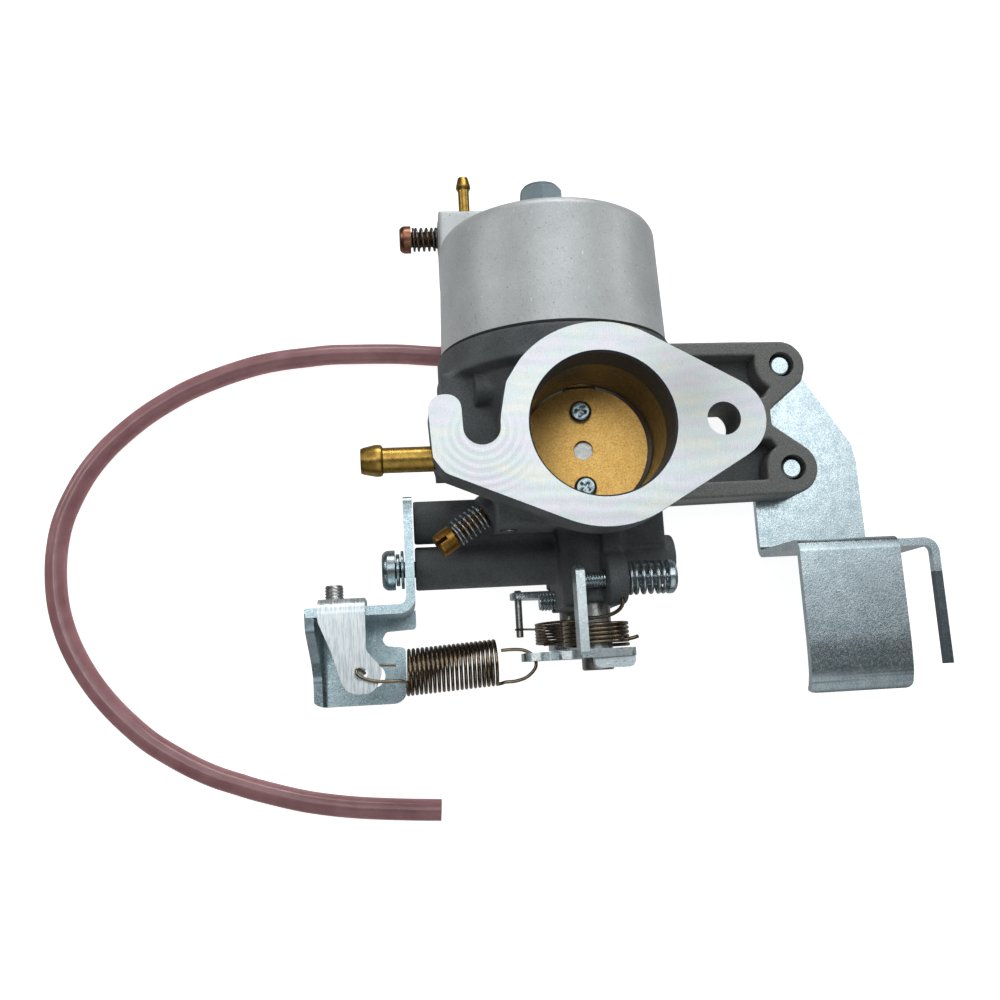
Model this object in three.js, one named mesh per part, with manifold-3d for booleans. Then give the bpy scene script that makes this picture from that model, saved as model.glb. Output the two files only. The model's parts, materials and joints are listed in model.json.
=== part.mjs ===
// A single-barrel side-draught carburetor lying on its back. Millimetres, +Z up.
// The bore runs along Z: engine flange on top, air intake flange on the surface below.
// Positions inside the unit are measured from the bore axis, and heights from the surface.
import * as THREE from 'three';
import { mergeVertices } from 'three/addons/utils/BufferGeometryUtils.js';
import Module from 'manifold-3d';

const wasm = await Module();
wasm.setup();

// ---- driving dimensions -------------------------------------------------------------
const BORE_AXIS = { x: -17.6, y: -11.75 };     // bore axis in the part's own frame
const GAP = 0.3;                               // left between pieces that touch

const BORE = { radius: 17, throat: 13.2, intake: 15.7 };
const FLANGE = { top: 78, thickness: 12, lobe: 24.4, boltX: 28.5, boltHole: 4, nose: 10.1 };
const SLOT = { x: -28.3, radius: 4.4 };
const EAR = { left: -40.7, top: 7.8, bottom: -10.6, corner: 3.4 };
const BARREL = { radius: 21.5 };
const INTAKE = { halfX: 23, bottomY: -26, topY: 22, height: 8, corner: 7 };

const BOWL = { x: -5, z: 40, rim: 30.5, end: 29.6, rimY: 28.4, endY: 61, bossY: 68.3, wall: 2 };
const SEAT = { radius: 31.5, y: 26.8, lipY: 20 };
const POST = { radius: 6, endY: 58.4 };          // the centre post inside the bowl
const FLOAT_PIN = { y: 33.5, z: 63, radius: 1 };
const NEEDLE = { z: 55, radius: 1.4 };
const DRAIN = { y: 70.1, z: 24, nippleX: -26 };

const THROTTLE = { z: 48, shaft: 4, plate: 16.6, closedTilt: 10, leverY: -53.2 };
const CHOKE = { x: -1.5, z: 17, shaft: 3, plate: 15.2, plateShift: -1.55, leverY: -35.6 };
const HOUSING = { left: -7.6, right: 7.6, bottomY: -40, low: 23, high: 49 };

const ARM = { back: 5.4, front: 18, holeTop: [67.2, 31.3], holeBottom: [67.6, -0.3], hole: 3.8 };
const POSTS = { z: 38.5, left: -44.6, upperY: -15.6, lowerY: -27.8, radius: 5.6 };
const STOP = { y: -34.5, z: 58, lugLeft: 1.4, lugRight: 6.3, head: 16.6 };

const STRIP = { left: -47.2, right: -44.9, topY: -10.4 };
const TRAY = { shelfTop: -37.5, thickness: 2.3, left: -72, right: -48, front: 50, back: 26, endY: -62 };
const ADJUSTER = { x: -65.3, z: 43, tongueZ: 50.4 };
const GOVERNOR = { y: -53.6, z: 48, left: -48.1, right: -25.2, radius: 5.8, wire: 0.45 };

const CABLE = {
  left: 59.6, back: 2.8, thickness: 2.3, shelfY: -23, frontZ: 28, endY: -65.5, legX: 107.9, legZ: 17.6,
};
const HOSE = { radius: 3, z: 3.05, exitY: 40.5 };

// Route of the vent hose from its nipple, lying on the surface: x and y from the bore axis.
const HOSE_ROUTE = [
  [-20.3, 40.5], [-28, 41], [-37, 41.6], [-45.5, 42.4], [-53, 42.7], [-60.5, 42.8], [-67.7, 42.8],
  [-74.7, 42.2], [-81.7, 41.5], [-88.6, 40.3], [-95.5, 38.4], [-102.2, 36.1], [-109, 33.3],
  [-115.5, 29.8], [-121.9, 25.7], [-127.9, 20.9], [-133.6, 15.4], [-138.6, 9], [-142.5, 1.9],
  [-145.5, -5.7], [-146.9, -13.9], [-147, -22.2], [-146, -30.4], [-143.7, -38.3], [-140.3, -45.7],
  [-136.1, -52.5], [-131.3, -58.6], [-126, -64.1], [-120.5, -69], [-114.5, -73.1], [-108.5, -76.7],
  [-102.4, -79.7], [-96.1, -82.1], [-89.9, -84.3], [-77.5, -87.9], [-64.4, -90.3], [-50.2, -91.8],
  [-39.8, -92.6],
];

// ---- finishes -----------------------------------------------------------------------
const FINISH = {
  cast: { color: 0x3c4042, roughness: 0.75, metalness: 0.6 },
  bowl: { color: 0xb9bcbe, roughness: 0.6, metalness: 0.7 },
  zinc: { color: 0xa9b6ba, roughness: 0.4, metalness: 0.9 },
  steel: { color: 0x9a9a98, roughness: 0.35, metalness: 0.9 },
  spring: { color: 0x5a4636, roughness: 0.45, metalness: 0.85 },
  brass: { color: 0xb58a3c, roughness: 0.35, metalness: 0.95 },
  gold: { color: 0xc48f35, roughness: 0.4, metalness: 0.9 },
  copper: { color: 0x8a5338, roughness: 0.4, metalness: 0.9 },
  gasket: { color: 0x26282a, roughness: 0.85, metalness: 0 },
  plastic: { color: 0x1c1d1f, roughness: 0.5, metalness: 0 },
  hose: { color: 0xc48a90, roughness: 0.25, metalness: 0 },
};

const unit = new THREE.Group();
unit.position.set(BORE_AXIS.x, BORE_AXIS.y, 0);

// ---- solids -------------------------------------------------------------------------
// u and v span the section, d is the direction in which it is drawn out.
const FRAMES = {
  x: { u: [0, 1, 0], v: [0, 0, 1], d: [1, 0, 0] },
  y: { u: [1, 0, 0], v: [0, 0, 1], d: [0, 1, 0] },
  z: { u: [1, 0, 0], v: [0, 1, 0], d: [0, 0, 1] },
};

function signedVolume(vertices, triangles) {
  const a = new THREE.Vector3();
  const b = new THREE.Vector3();
  const c = new THREE.Vector3();
  let sum = 0;
  for (let i = 0; i < triangles.length; i += 3) {
    a.fromArray(vertices, 3 * triangles[i]);
    b.fromArray(vertices, 3 * triangles[i + 1]);
    c.fromArray(vertices, 3 * triangles[i + 2]);
    sum += a.dot(b.cross(c)) / 6;
  }
  return sum;
}

function solid(geometry) {
  geometry.deleteAttribute('normal');
  geometry.deleteAttribute('uv');
  const merged = mergeVertices(geometry, 1e-4);
  const vertProperties = new Float32Array(merged.attributes.position.array);
  const triVerts = new Uint32Array(merged.index.array);
  if (signedVolume(vertProperties, triVerts) < 0) {
    triVerts.reverse();
  }
  return new wasm.Manifold(new wasm.Mesh({ numProp: 3, vertProperties, triVerts }));
}

function drawnOut(shape, axis, from, to, curveSegments = 8) {
  const geometry = new THREE.ExtrudeGeometry(shape, {
    depth: to - from, bevelEnabled: false, curveSegments,
  });
  const frame = FRAMES[axis];
  const turn = new THREE.Matrix4().makeBasis(
    new THREE.Vector3(...frame.u), new THREE.Vector3(...frame.v), new THREE.Vector3(...frame.d));
  geometry.translate(0, 0, from);
  geometry.applyMatrix4(turn);
  return solid(geometry);
}

// A profile of [radius, distance along the axis] turned about an axis through a centre.
function turned(profile, axis, centre, segments = 24) {
  const points = profile.map(([r, t]) => new THREE.Vector2(r, t));
  const geometry = new THREE.LatheGeometry(points, segments);
  const frame = FRAMES[axis];
  const u = new THREE.Vector3(...frame.u);
  const v = new THREE.Vector3(...frame.v);
  const d = new THREE.Vector3(...frame.d);
  geometry.applyMatrix4(new THREE.Matrix4().makeBasis(u, d, v));
  geometry.translate(...u.multiplyScalar(centre[0]).add(v.multiplyScalar(centre[1])).toArray());
  return solid(geometry);
}

function rod(radius, axis, centre, from, to, segments = 12) {
  return turned([[0, from], [radius, from], [radius, to], [0, to]], axis, centre, segments);
}

function sleeve(outer, inner, axis, centre, from, to, segments = 14) {
  return turned([[inner, from], [outer, from], [outer, to], [inner, to], [inner, from]],
    axis, centre, segments);
}

function block(x, y, z) {
  const geometry = new THREE.BoxGeometry(x[1] - x[0], y[1] - y[0], z[1] - z[0]);
  geometry.translate((x[0] + x[1]) / 2, (y[0] + y[1]) / 2, (z[0] + z[1]) / 2);
  return solid(geometry);
}

// A straight wire between two points.
function wire(radius, from, to) {
  const start = new THREE.Vector3(...from);
  const along = new THREE.Vector3(...to).sub(start);
  const geometry = new THREE.CylinderGeometry(radius, radius, along.length(), 6);
  geometry.translate(0, along.length() / 2, 0);
  geometry.applyQuaternion(
    new THREE.Quaternion().setFromUnitVectors(new THREE.Vector3(0, 1, 0), along.clone().normalize()));
  geometry.translate(...from);
  return solid(geometry);
}

function outline(points) {
  return new THREE.Shape(points.map(([x, y]) => new THREE.Vector2(x, y)));
}

// A rectangle whose corners are rounded.
function pad(x0, x1, y0, y1, r) {
  const shape = new THREE.Shape();
  shape.moveTo(x0 + r, y0);
  shape.absarc(x1 - r, y0 + r, r, -Math.PI / 2, 0);
  shape.absarc(x1 - r, y1 - r, r, 0, Math.PI / 2);
  shape.absarc(x0 + r, y1 - r, r, Math.PI / 2, Math.PI);
  shape.absarc(x0 + r, y0 + r, r, Math.PI, 1.5 * Math.PI);
  return shape;
}

function joined(...pieces) {
  return pieces.reduce((whole, piece) => whole.add(piece));
}

function cut(whole, ...cutters) {
  return cutters.reduce((left, cutter) => left.subtract(cutter), whole);
}

function add(name, shape, finish) {
  const { vertProperties, triVerts } = shape.getMesh();
  const geometry = new THREE.BufferGeometry();
  geometry.setAttribute('position', new THREE.BufferAttribute(new Float32Array(vertProperties), 3));
  geometry.setIndex([...triVerts]);
  geometry.computeVertexNormals();
  const mesh = new THREE.Mesh(geometry, new THREE.MeshStandardMaterial(FINISH[finish]));
  mesh.name = name;
  unit.add(mesh);
}

// ---- body casting -------------------------------------------------------------------
function flangeOutline() {
  const { lobe, boltX, nose } = FLANGE;
  const lean = Math.acos((lobe - nose) / boltX);
  const foot = THREE.MathUtils.degToRad(-112.5);
  const shape = new THREE.Shape();
  shape.moveTo(SLOT.x + SLOT.radius, 0);
  shape.lineTo(-22.4, 13);
  shape.absarc(0, 0, lobe, THREE.MathUtils.degToRad(141), lean, true);
  shape.absarc(boltX, 0, nose, lean, -lean, true);
  shape.absarc(0, 0, lobe, -lean, foot, true);
  shape.lineTo(-37.5, EAR.bottom);
  shape.lineTo(-39.6, -9.6);
  shape.lineTo(EAR.left, 3.4);
  shape.absarc(EAR.left + EAR.corner, EAR.top - EAR.corner, EAR.corner, Math.PI, Math.PI / 2, true);
  shape.lineTo(-35, EAR.top);
  shape.lineTo(SLOT.x - SLOT.radius, 5);
  shape.absarc(SLOT.x, 0, SLOT.radius, Math.PI, 2 * Math.PI, false);
  return shape;
}

function armOutline() {
  return outline([
    [14, -8.5], [69.3, -7.9], [74.1, -4.4], [75.2, 0.4], [72.6, 5.5], [62.8, 13], [62.8, 17.2],
    [73.2, 26.7], [74, 31.2], [73.1, 35.4], [68.5, 38.2], [20.5, 38.2], [20.5, 22], [14, 22],
  ]);
}

function armPockets() {
  const upper = [[36, 21.4], [60, 20.7], [62.3, 23], [58.8, 28], [58.2, 33.4], [38, 33.4]];
  const lower = [[36, -4.3], [58.8, -4.3], [60, 3.6], [62.3, 7], [58.7, 8.9], [36, 7.6]];
  const floor = ARM.front - 7.6;
  return [
    drawnOut(outline(upper), 'z', floor, ARM.front + 1),
    drawnOut(outline(lower), 'z', floor, ARM.front + 1),
    drawnOut(pad(41, 54, 9.8, 18.6, 3), 'z', 0, ARM.front + 1, 3),
  ];
}

function borePassage() {
  const top = FLANGE.top + 1;
  return turned([
    [0, -1], [BORE.intake, -1], [BORE.intake, 25], [BORE.throat, 30], [BORE.throat, 33],
    [BORE.radius, 40], [BORE.radius, FLANGE.top - 1], [BORE.radius + 2, top], [0, top],
  ], 'z', [0, 0], 36);
}

function castBody() {
  const under = FLANGE.top - FLANGE.thickness;
  const bowlAxis = [BOWL.x, BOWL.z];
  const solids = joined(
    drawnOut(flangeOutline(), 'z', under, FLANGE.top, 12),
    rod(BARREL.radius, 'z', [0, 0], 2, under + 1, 36),
    drawnOut(pad(-INTAKE.halfX, INTAKE.halfX, INTAKE.bottomY, INTAKE.topY, INTAKE.corner),
      'z', 0, INTAKE.height, 3),
    turned([[0, -4], [20, -4], [29.5, 16], [SEAT.radius, SEAT.lipY], [SEAT.radius, SEAT.y], [0, SEAT.y]],
      'y', bowlAxis, 32),
    rod(POST.radius, 'y', bowlAxis, SEAT.y - 1, POST.endY, 20),
    rod(3.2, 'y', [4, BOWL.z], SEAT.y - 1, 38, 12),
    block([-36, -10], [-3, 20], [30, 57]),
    block([-39, -12], [-9.8, -4.9], [61, under + 1]),
    rod(4, 'x', [15.3, 52], -29, -18, 16),
    drawnOut(armOutline(), 'z', ARM.back, ARM.front),
    block([HOUSING.left, HOUSING.right], [HOUSING.bottomY, -15], [HOUSING.low, HOUSING.high]),
    rod(7, 'y', [0, THROTTLE.z], HOUSING.bottomY + 0.5, -15, 20),
    rod(6.2, 'y', [CHOKE.x, CHOKE.z], -33, -15, 16),
    rod(POSTS.radius, 'x', [POSTS.upperY, POSTS.z], POSTS.left, 0, 20),
    rod(POSTS.radius, 'x', [POSTS.lowerY, POSTS.z], POSTS.left, 0, 20),
    block([-37, 0], [POSTS.lowerY, POSTS.upperY], [POSTS.z - 5, POSTS.z + 2.5]),
    rod(6, 'x', [-27.8, 40], -6, 23, 20),
    block([6, 19.5], [-26, -8], [34, 50]),
    rod(6.2, 'x', [STOP.y, STOP.z], STOP.lugLeft, STOP.lugRight, 16),
    block([STOP.lugLeft, STOP.lugRight], [STOP.y - 3, -14], [47, STOP.z]),
    rod(4.6, 'x', [-16, 56], -20, -14, 12),
    block([-25, -10], [-21.5, -10], [52, under + 1]),
    pilotBoss(),
    block([-14, -4], [15, 45.5], [0, 6.2]),
  );
  const ears = [[-12.5, -10.5], [0.5, 2.5]].map((x) => block(x, [SEAT.y - 1, 36], [60.5, 65.5]));
  const passages = [
    borePassage(),
    rod(FLANGE.boltHole, 'z', [FLANGE.boltX, 0], under - 1, FLANGE.top + 1, 24),
    ...armPockets(),
    rod(ARM.hole, 'z', ARM.holeTop, 0, 20, 16),
    rod(ARM.hole, 'z', ARM.holeBottom, 0, 20, 16),
    rod(THROTTLE.shaft + GAP, 'y', [0, THROTTLE.z], -60, 21.5, 16),
    rod(CHOKE.shaft + GAP, 'y', [CHOKE.x, CHOKE.z], -60, 18.5, 16),
    rod(2.6, 'y', bowlAxis, 5, 45, 12),
    rod(3.3, 'y', bowlAxis, 46, 65, 12),
    rod(1.9, 'y', [4, BOWL.z], 27, 40, 10),
    rod(3.5, 'y', [BOWL.x, NEEDLE.z], 20, 30, 12),
    rod(1.3, 'x', [FLOAT_PIN.y, FLOAT_PIN.z], -14, 4, 10),
    rod(2.5, 'x', [-5.5, 70], -45, -34, 12),
    rod(2.3, 'x', [STOP.y, STOP.z], 0, 8, 12),
    rod(2.6, 'x', [POSTS.lowerY, POSTS.z], -46, -33, 12),
    rod(2.8, 'x', [-37.2, 29.5], -9, 9, 12),
    rod(1.6, 'x', [HOSE.exitY, HOSE.z + 0.2], -16, -8, 10),
    pilotBore(),
    plugBore(),
  ];
  return cut(joined(solids, ...ears), ...passages);
}

// ---- pilot screw, set across the corner below the flange -----------------------------
const PILOT = { x: -27.2, y: -16.8, z: 54.5, heading: THREE.MathUtils.degToRad(33) };

// Distances run back from the boss towards the screw head.
function alongPilot(profile, segments) {
  const geometry = new THREE.LatheGeometry(profile.map(([r, t]) => new THREE.Vector2(r, t)), segments);
  geometry.rotateZ(Math.PI / 2);
  geometry.rotateZ(PILOT.heading);
  geometry.translate(PILOT.x, PILOT.y, PILOT.z);
  return solid(geometry);
}

function pilotBoss() {
  return alongPilot([[0, -16], [4.6, -16], [4.6, -0.2], [0, -0.2]], 16);
}

function pilotBore() {
  return alongPilot([[0, -11], [2.3, -11], [2.3, 2], [0, 2]], 12);
}

function addPilotScrew() {
  const screw = alongPilot(
    [[0, -10.5], [0.8, -9], [2, -6], [2, 9.2], [3.1, 9.2], [3.1, 13.6], [2.7, 14], [0, 14]], 14);
  const slot = alongPilot([[0, 12.4], [0.6, 12.4], [0.6, 15], [0, 15]], 8);
  add('pilot_screw', cut(screw, slot), 'brass');
  const spring = alongPilot([[2.5, 0.2], [3.5, 0.2], [3.5, 8.9], [2.5, 8.9], [2.5, 0.2]], 14);
  add('pilot_screw_spring', spring, 'zinc');
}

// ---- small plug beside the pilot screw ----------------------------------------------
const PLUG = { x: -21.6, z: 58.5, faceY: -21.9 };

function plugBore() {
  return rod(2.2, 'y', [PLUG.x, PLUG.z], -24, -16.5, 12);
}

function addPlug() {
  const head = rod(1.9, 'y', [PLUG.x, PLUG.z], PLUG.faceY, -17, 12);
  const { x, z, faceY } = PLUG;
  const slot = block([x - 3, x + 3], [faceY - 1, faceY + 0.9], [z - 0.3, z + 0.3]);
  add('passage_plug_screw', cut(head, slot), 'steel');
}

// ---- float bowl and what it holds -----------------------------------------------------
function bowlShell() {
  const { rim, end, rimY, endY, bossY, wall } = BOWL;
  const shell = turned([
    [rim, rimY], [end, endY - 1.6], [end - 1.6, endY], [15, endY + 2.2],
    [10, endY + 4.6], [8.5, bossY], [3.4, bossY], [3.4, endY - wall - 0.5],
    [end - wall - 3, endY - wall - 0.5], [end - wall, endY - 5], [rim - wall, rimY], [rim, rimY],
  ], 'y', [BOWL.x, BOWL.z], 32);
  const drain = joined(
    block([-33.8, -21], [57, 75], [16, 31.5]),
    block([-22, -6], [57, 68], [21, 31]),
  );
  const hollow = turned([
    [0, rimY - 5], [rim - wall, rimY - 5], [rim - wall, rimY], [end - wall, endY - 5],
    [end - wall - 3, endY - wall - 0.5], [0, endY - wall - 0.5],
  ], 'y', [BOWL.x, BOWL.z], 32);
  return cut(joined(shell, cut(drain, hollow)),
    rod(3.1, 'x', [DRAIN.y, DRAIN.z], -35, -22, 12),
    rod(1.9, 'y', [DRAIN.nippleX, DRAIN.z], 71, 76, 10),
    rod(3.3, 'y', [BOWL.x, BOWL.z], 50, 70, 12));
}

function addBowl() {
  const axis = [BOWL.x, BOWL.z];
  const top = BOWL.bossY;
  add('float_bowl', bowlShell(), 'bowl');
  add('bowl_gasket', sleeve(31, 28.6, 'y', axis, SEAT.y + GAP, BOWL.rimY - GAP, 32), 'gasket');
  add('bowl_bolt_washer', sleeve(7.2, 3.4, 'y', axis, top + GAP, top + 1.7, 20), 'copper');
  const hex = rod(5.8, 'y', axis, top + 2, top + 8.5, 6);
  add('bowl_bolt', joined(hex, rod(3, 'y', axis, 49, top + 3, 12)), 'zinc');
}

function addDrain() {
  add('drain_nipple', turned([[0.7, 72.6], [1.6, 72.6], [1.6, 85], [2.15, 86], [1.5, 89], [0.7, 89],
    [0.7, 72.6]], 'y', [DRAIN.nippleX, DRAIN.z], 12), 'brass');
  const screw = turned([[0, -45.3], [2.5, -45.3], [3.9, -44.2], [3.9, -42], [2.4, -42], [2.4, -25.5],
    [0, -25.5]], 'x', [DRAIN.y, DRAIN.z], 14);
  const across = block([-46, -44.6], [DRAIN.y - 4.5, DRAIN.y + 4.5], [23.5, 24.5]);
  add('drain_screw', cut(screw, across), 'copper');
  add('drain_spring', sleeve(3.5, 2.8, 'x', [DRAIN.y, DRAIN.z], -41.7, -34.1, 14), 'steel');
}

function addFloat() {
  const ring = sleeve(25.4, 12.9, 'y', [BOWL.x, BOWL.z], 36.5, 50.5, 24);
  const hinge = block([-9.5, -0.5], [32, 37.5], [56, 65.2]);
  const pin = [FLOAT_PIN.y, FLOAT_PIN.z];
  const relief = joined(block([-8, -2], [20, 35.5], [52, 59]), rod(1.3, 'x', pin, -14, 4, 10));
  const tabGap = block([-20, 10], [30, 36.2], [50, 56.5]);
  add('float', cut(joined(ring, hinge), relief, tabGap), 'plastic');
  add('float_pin', rod(FLOAT_PIN.radius, 'x', pin, -13.3, 3.3, 10), 'steel');
  const axis = [BOWL.x, NEEDLE.z];
  add('needle_seat', sleeve(3.2, 1.8, 'y', axis, 20.4, 29.4, 14), 'brass');
  const needle = turned([[0, 21.2], [NEEDLE.radius, 24], [NEEDLE.radius, 35.1], [0, 35.1]], 'y', axis, 10);
  add('needle_valve', needle, 'steel');
}

function addJets() {
  const axis = [BOWL.x, BOWL.z];
  add('main_nozzle', sleeve(2.3, 1.3, 'y', axis, 16.2, 37, 12), 'brass');
  add('main_jet', sleeve(2.3, 0.7, 'y', axis, 37.4, 44, 12), 'brass');
  add('pilot_jet', sleeve(1.6, 0.6, 'y', [4, BOWL.z], 27.4, 39, 10), 'brass');
}

// ---- fuel and vent nipples, vent hose ------------------------------------------------
function addNipples() {
  add('fuel_inlet_nipple', turned([[1.6, -56.4], [2.9, -56.4], [3.75, -53], [3.75, -51.6], [3, -50.4],
    [3, -41.1], [2.2, -41.1], [2.2, -35], [1.6, -35], [1.6, -56.4]], 'x', [-5.5, 70], 16), 'brass');
  add('vent_nipple', sleeve(1.3, 0.7, 'x', [HOSE.exitY, HOSE.z + 0.2], -20, -9, 10), 'brass');
}

function addHose() {
  const points = HOSE_ROUTE.map(([x, y]) => new THREE.Vector3(x, y, HOSE.z));
  const route = new THREE.CatmullRomCurve3(points);
  const section = new THREE.Shape();
  section.absarc(0, 0, HOSE.radius, 0, 2 * Math.PI);
  const geometry = new THREE.ExtrudeGeometry(section, {
    steps: 30, curveSegments: 4, bevelEnabled: false, extrudePath: route,
  });
  add('vent_hose', solid(geometry), 'hose');
}

// ---- a valve plate with its two screws, on a shaft along Y ------------------------------
// The plate lies in the plane that leans by an angle from level about the shaft.
function leaned(shape, angle, x, z) {
  const turn = new THREE.Matrix4().makeTranslation(x, 0, z);
  turn.multiply(new THREE.Matrix4().makeRotationY(angle));
  return shape.transform(turn.elements);
}

// The disc's centre may lie off the shaft, so that it is centred in the bore when closed.
function valvePlate(radius, thickness, hole, shift) {
  const disc = rod(radius, 'z', [shift, 0], 0, thickness, 28);
  const holes = [-10, 10].map((y) => rod(1.7, 'z', [0, y], -3, 6, 8));
  return hole > 0 ? cut(disc, ...holes, rod(hole, 'z', [0, 0], -3, 6, 12)) : cut(disc, ...holes);
}

function valveScrew(y, low, high) {
  return turned([[0, low], [1.4, low], [1.4, high], [2.9, high], [2.9, high + 0.8], [1.8, high + 1.7],
    [0, high + 1.7]], 'z', [0, y], 12);
}

function valveShaft(radius, from, to, flat) {
  const whole = rod(radius, 'y', [0, 0], from, to, 16);
  const holes = [-10, 10].map((y) => rod(1.7, 'z', [0, y], -6, 6, 8));
  return cut(whole, block([-6, 6], [-flat, flat], [-GAP, 6]), ...holes);
}

function addThrottle() {
  const tilt = THREE.MathUtils.degToRad(-THROTTLE.closedTilt);
  const place = (shape) => leaned(shape, tilt, 0, THROTTLE.z);
  add('throttle_shaft', place(valveShaft(THROTTLE.shaft, -56.2, 21, BORE.radius - 0.2)), 'steel');
  add('throttle_valve', place(valvePlate(THROTTLE.plate, 1.2, 2.5, 0)), 'gold');
  [10, -10].forEach((y, i) => {
    add(`throttle_valve_screw_${i + 1}`, place(valveScrew(y, -3.4, 1.2 + GAP)), 'steel');
  });
  add('throttle_lever', throttleLever(), 'zinc');
}

function throttleLever() {
  const y = THROTTLE.leverY;
  const plate = outline([
    [-19, 44.5], [-13, 44], [-4, 40.5], [4, 40.5], [7.8, 45], [7.8, 58], [6.8, 60], [-6.4, 62.2],
    [-6.4, 55], [-9, 53], [-12, 52.4], [-19, 52],
  ]);
  const lip = block([-1, 7.4], [y - 2.6, y + 0.5], [56.6, 58.8]);
  const tab = drawnOut(outline([[-6.4, 56.2], [-4.2, 56.2], [-4.2, 62.2], [-6.4, 62.2]]), 'y', y, -31);
  return cut(joined(drawnOut(plate, 'y', y, y + 2), lip, tab),
    rod(THROTTLE.shaft + GAP, 'y', [0, THROTTLE.z], y - 4, y + 4, 16),
    rod(1.2, 'y', [-15.6, 48], y - 4, y + 4, 8));
}

function addChoke() {
  const place = (shape) => leaned(shape, THREE.MathUtils.degToRad(-90), CHOKE.x, CHOKE.z);
  add('choke_shaft', place(valveShaft(CHOKE.shaft, -51.5, 18, BORE.intake - 0.2)), 'steel');
  add('choke_valve', place(valvePlate(CHOKE.plate, 1, 0, CHOKE.plateShift)), 'gold');
  [10, -10].forEach((y, i) => {
    add(`choke_valve_screw_${i + 1}`, place(valveScrew(y, -2.6, 1 + GAP)), 'steel');
  });
  const lever = outline([[-18.6, 18], [-18, 22], [-14.5, 22.6], [-3, 22.4], [3, 19.5], [3, 14.5], [-1.5, 12],
    [-6, 13.5], [-17, 17]]);
  add('choke_lever', cut(drawnOut(lever, 'y', CHOKE.leverY, CHOKE.leverY + 2),
    rod(CHOKE.shaft + GAP, 'y', [CHOKE.x, CHOKE.z], -50, -30, 16),
    rod(1.3, 'y', [-16.3, 19.7], -50, -30, 8)), 'zinc');
  add('choke_link_pin', rod(1, 'y', [-16.3, 19.7], -46, -33, 8), 'steel');
  add('choke_retainer', sleeve(6.6, CHOKE.shaft + GAP, 'y', [CHOKE.x, CHOKE.z], -50.2, -48.2, 16), 'zinc');
}

function addLeverSprings() {
  add('throttle_return_spring', sleeve(8.4, 7.2, 'y', [0, THROTTLE.z], -50.6, -43.7, 20), 'spring');
  add('choke_return_spring', sleeve(10.4, 9.4, 'y', [CHOKE.x, CHOKE.z], -47.6, -40.8, 20), 'spring');
  add('governor_spring', governorSpring(), 'spring');
}

function governorSpring() {
  const { y, z, left, right, radius, wire: thin } = GOVERNOR;
  const mid = radius - thin;
  const tip = -15.6;
  const hole = [-58.8, -54.1];
  const ahead = ADJUSTER.tongueZ + 3;
  const bend = [-52.6, -56.4, ahead];
  return joined(
    sleeve(radius, radius - 2 * thin, 'x', [y, z], left, right, 14),
    wire(thin, [left + 0.4, y - mid, z], bend),
    wire(thin, bend, [...hole, ahead]),
    wire(thin, [...hole, ahead + 0.3], [...hole, ADJUSTER.tongueZ - 1.4]),
    wire(thin, [right - 0.4, y + mid, z], [tip, y + 5, z]),
    wire(thin, [tip, y + 5.4, z], [tip, y - 5.4, z]),
    wire(thin, [right - 0.4, y - mid, z], [tip, y - 5, z]),
  );
}

// ---- idle stop and choke stop screws ---------------------------------------------------
function addStopScrews() {
  const axis = [STOP.y, STOP.z];
  const screw = turned([[0, -3.8], [2, -3.8], [2, STOP.head], [4.2, STOP.head], [4.2, 18], [3.4, 18.8],
    [0, 18.8]], 'x', axis, 14);
  const across = joined(
    block([17.8, 20], [-38.5, -30.5], [57.5, 58.5]),
    block([17.8, 20], [-35, -34], [54, 62]),
  );
  add('idle_stop_screw', cut(screw, across), 'zinc');
  add('idle_stop_spring', sleeve(4.2, 3.2, 'x', axis, STOP.lugRight + GAP, STOP.head - GAP, 14), 'zinc');
  add('housing_stud', rod(2.5, 'x', [-37.2, 29.5], -11.6, 7, 14), 'zinc');
}

// ---- left bracket with its screw and the spring adjuster ---------------------------------
function anchorBracket() {
  const { shelfTop, thickness, left, right, front, back, endY } = TRAY;
  const { z } = POSTS;
  const side = pad(shelfTop - thickness, STRIP.topY, z - 9, z + 11.5, 3);
  const strip = drawnOut(side, 'x', STRIP.left, STRIP.right, 3);
  const shelf = block([left, STRIP.right], [shelfTop - thickness, shelfTop], [back, front]);
  const plate = drawnOut(outline([
    [left, shelfTop - 0.2], [STRIP.right, shelfTop - 0.2], [STRIP.right, -42.6], [-53, -43],
    [-54.2, -45], [-53, -46.8], [right, -47.4], [right, endY + 2], [right - 2, endY],
    [left + 3, endY], [left, endY + 3],
  ]), 'z', back, back + thickness);
  const gusset = drawnOut(outline([
    [shelfTop - 0.5, back], [shelfTop - 0.5, front], [-44, front - 2], [-56, 33], [-60, 29], [-60.5, back],
  ]), 'x', left, left + 2);
  return cut(joined(strip, shelf, plate, gusset),
    rod(2.8, 'x', [POSTS.lowerY, z], -50, -42, 14),
    rod(2.7, 'y', [ADJUSTER.x, ADJUSTER.z], -42, -36, 14),
    rod(2.9, 'z', [-56.5, -54.5], back - 1, back + 5, 16));
}

function adjusterLever() {
  const z = ADJUSTER.tongueZ;
  const y = TRAY.shelfTop + GAP;
  const tongue = drawnOut(outline([
    [-68.7, y + 1.4], [-57.4, y + 1.4], [-57.4, -47.4], [-56.6, -49.6], [-54.2, -52.4], [-53.8, -54.8],
    [-55.2, -57.8], [-58.4, -59], [-61.6, -58.2], [-63.2, -55.4], [-65.6, -48.9], [-68.5, -41.5],
  ]), 'z', z, z + 2);
  const cap = block([-68.7, -57.4], [y, y + 1.4], [36.5, z + 1]);
  return cut(joined(tongue, cap),
    rod(2.7, 'y', [ADJUSTER.x, ADJUSTER.z], -42, -32, 14),
    rod(1.6, 'z', [-58.8, -54.1], z - 1, z + 3, 12));
}

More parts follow.
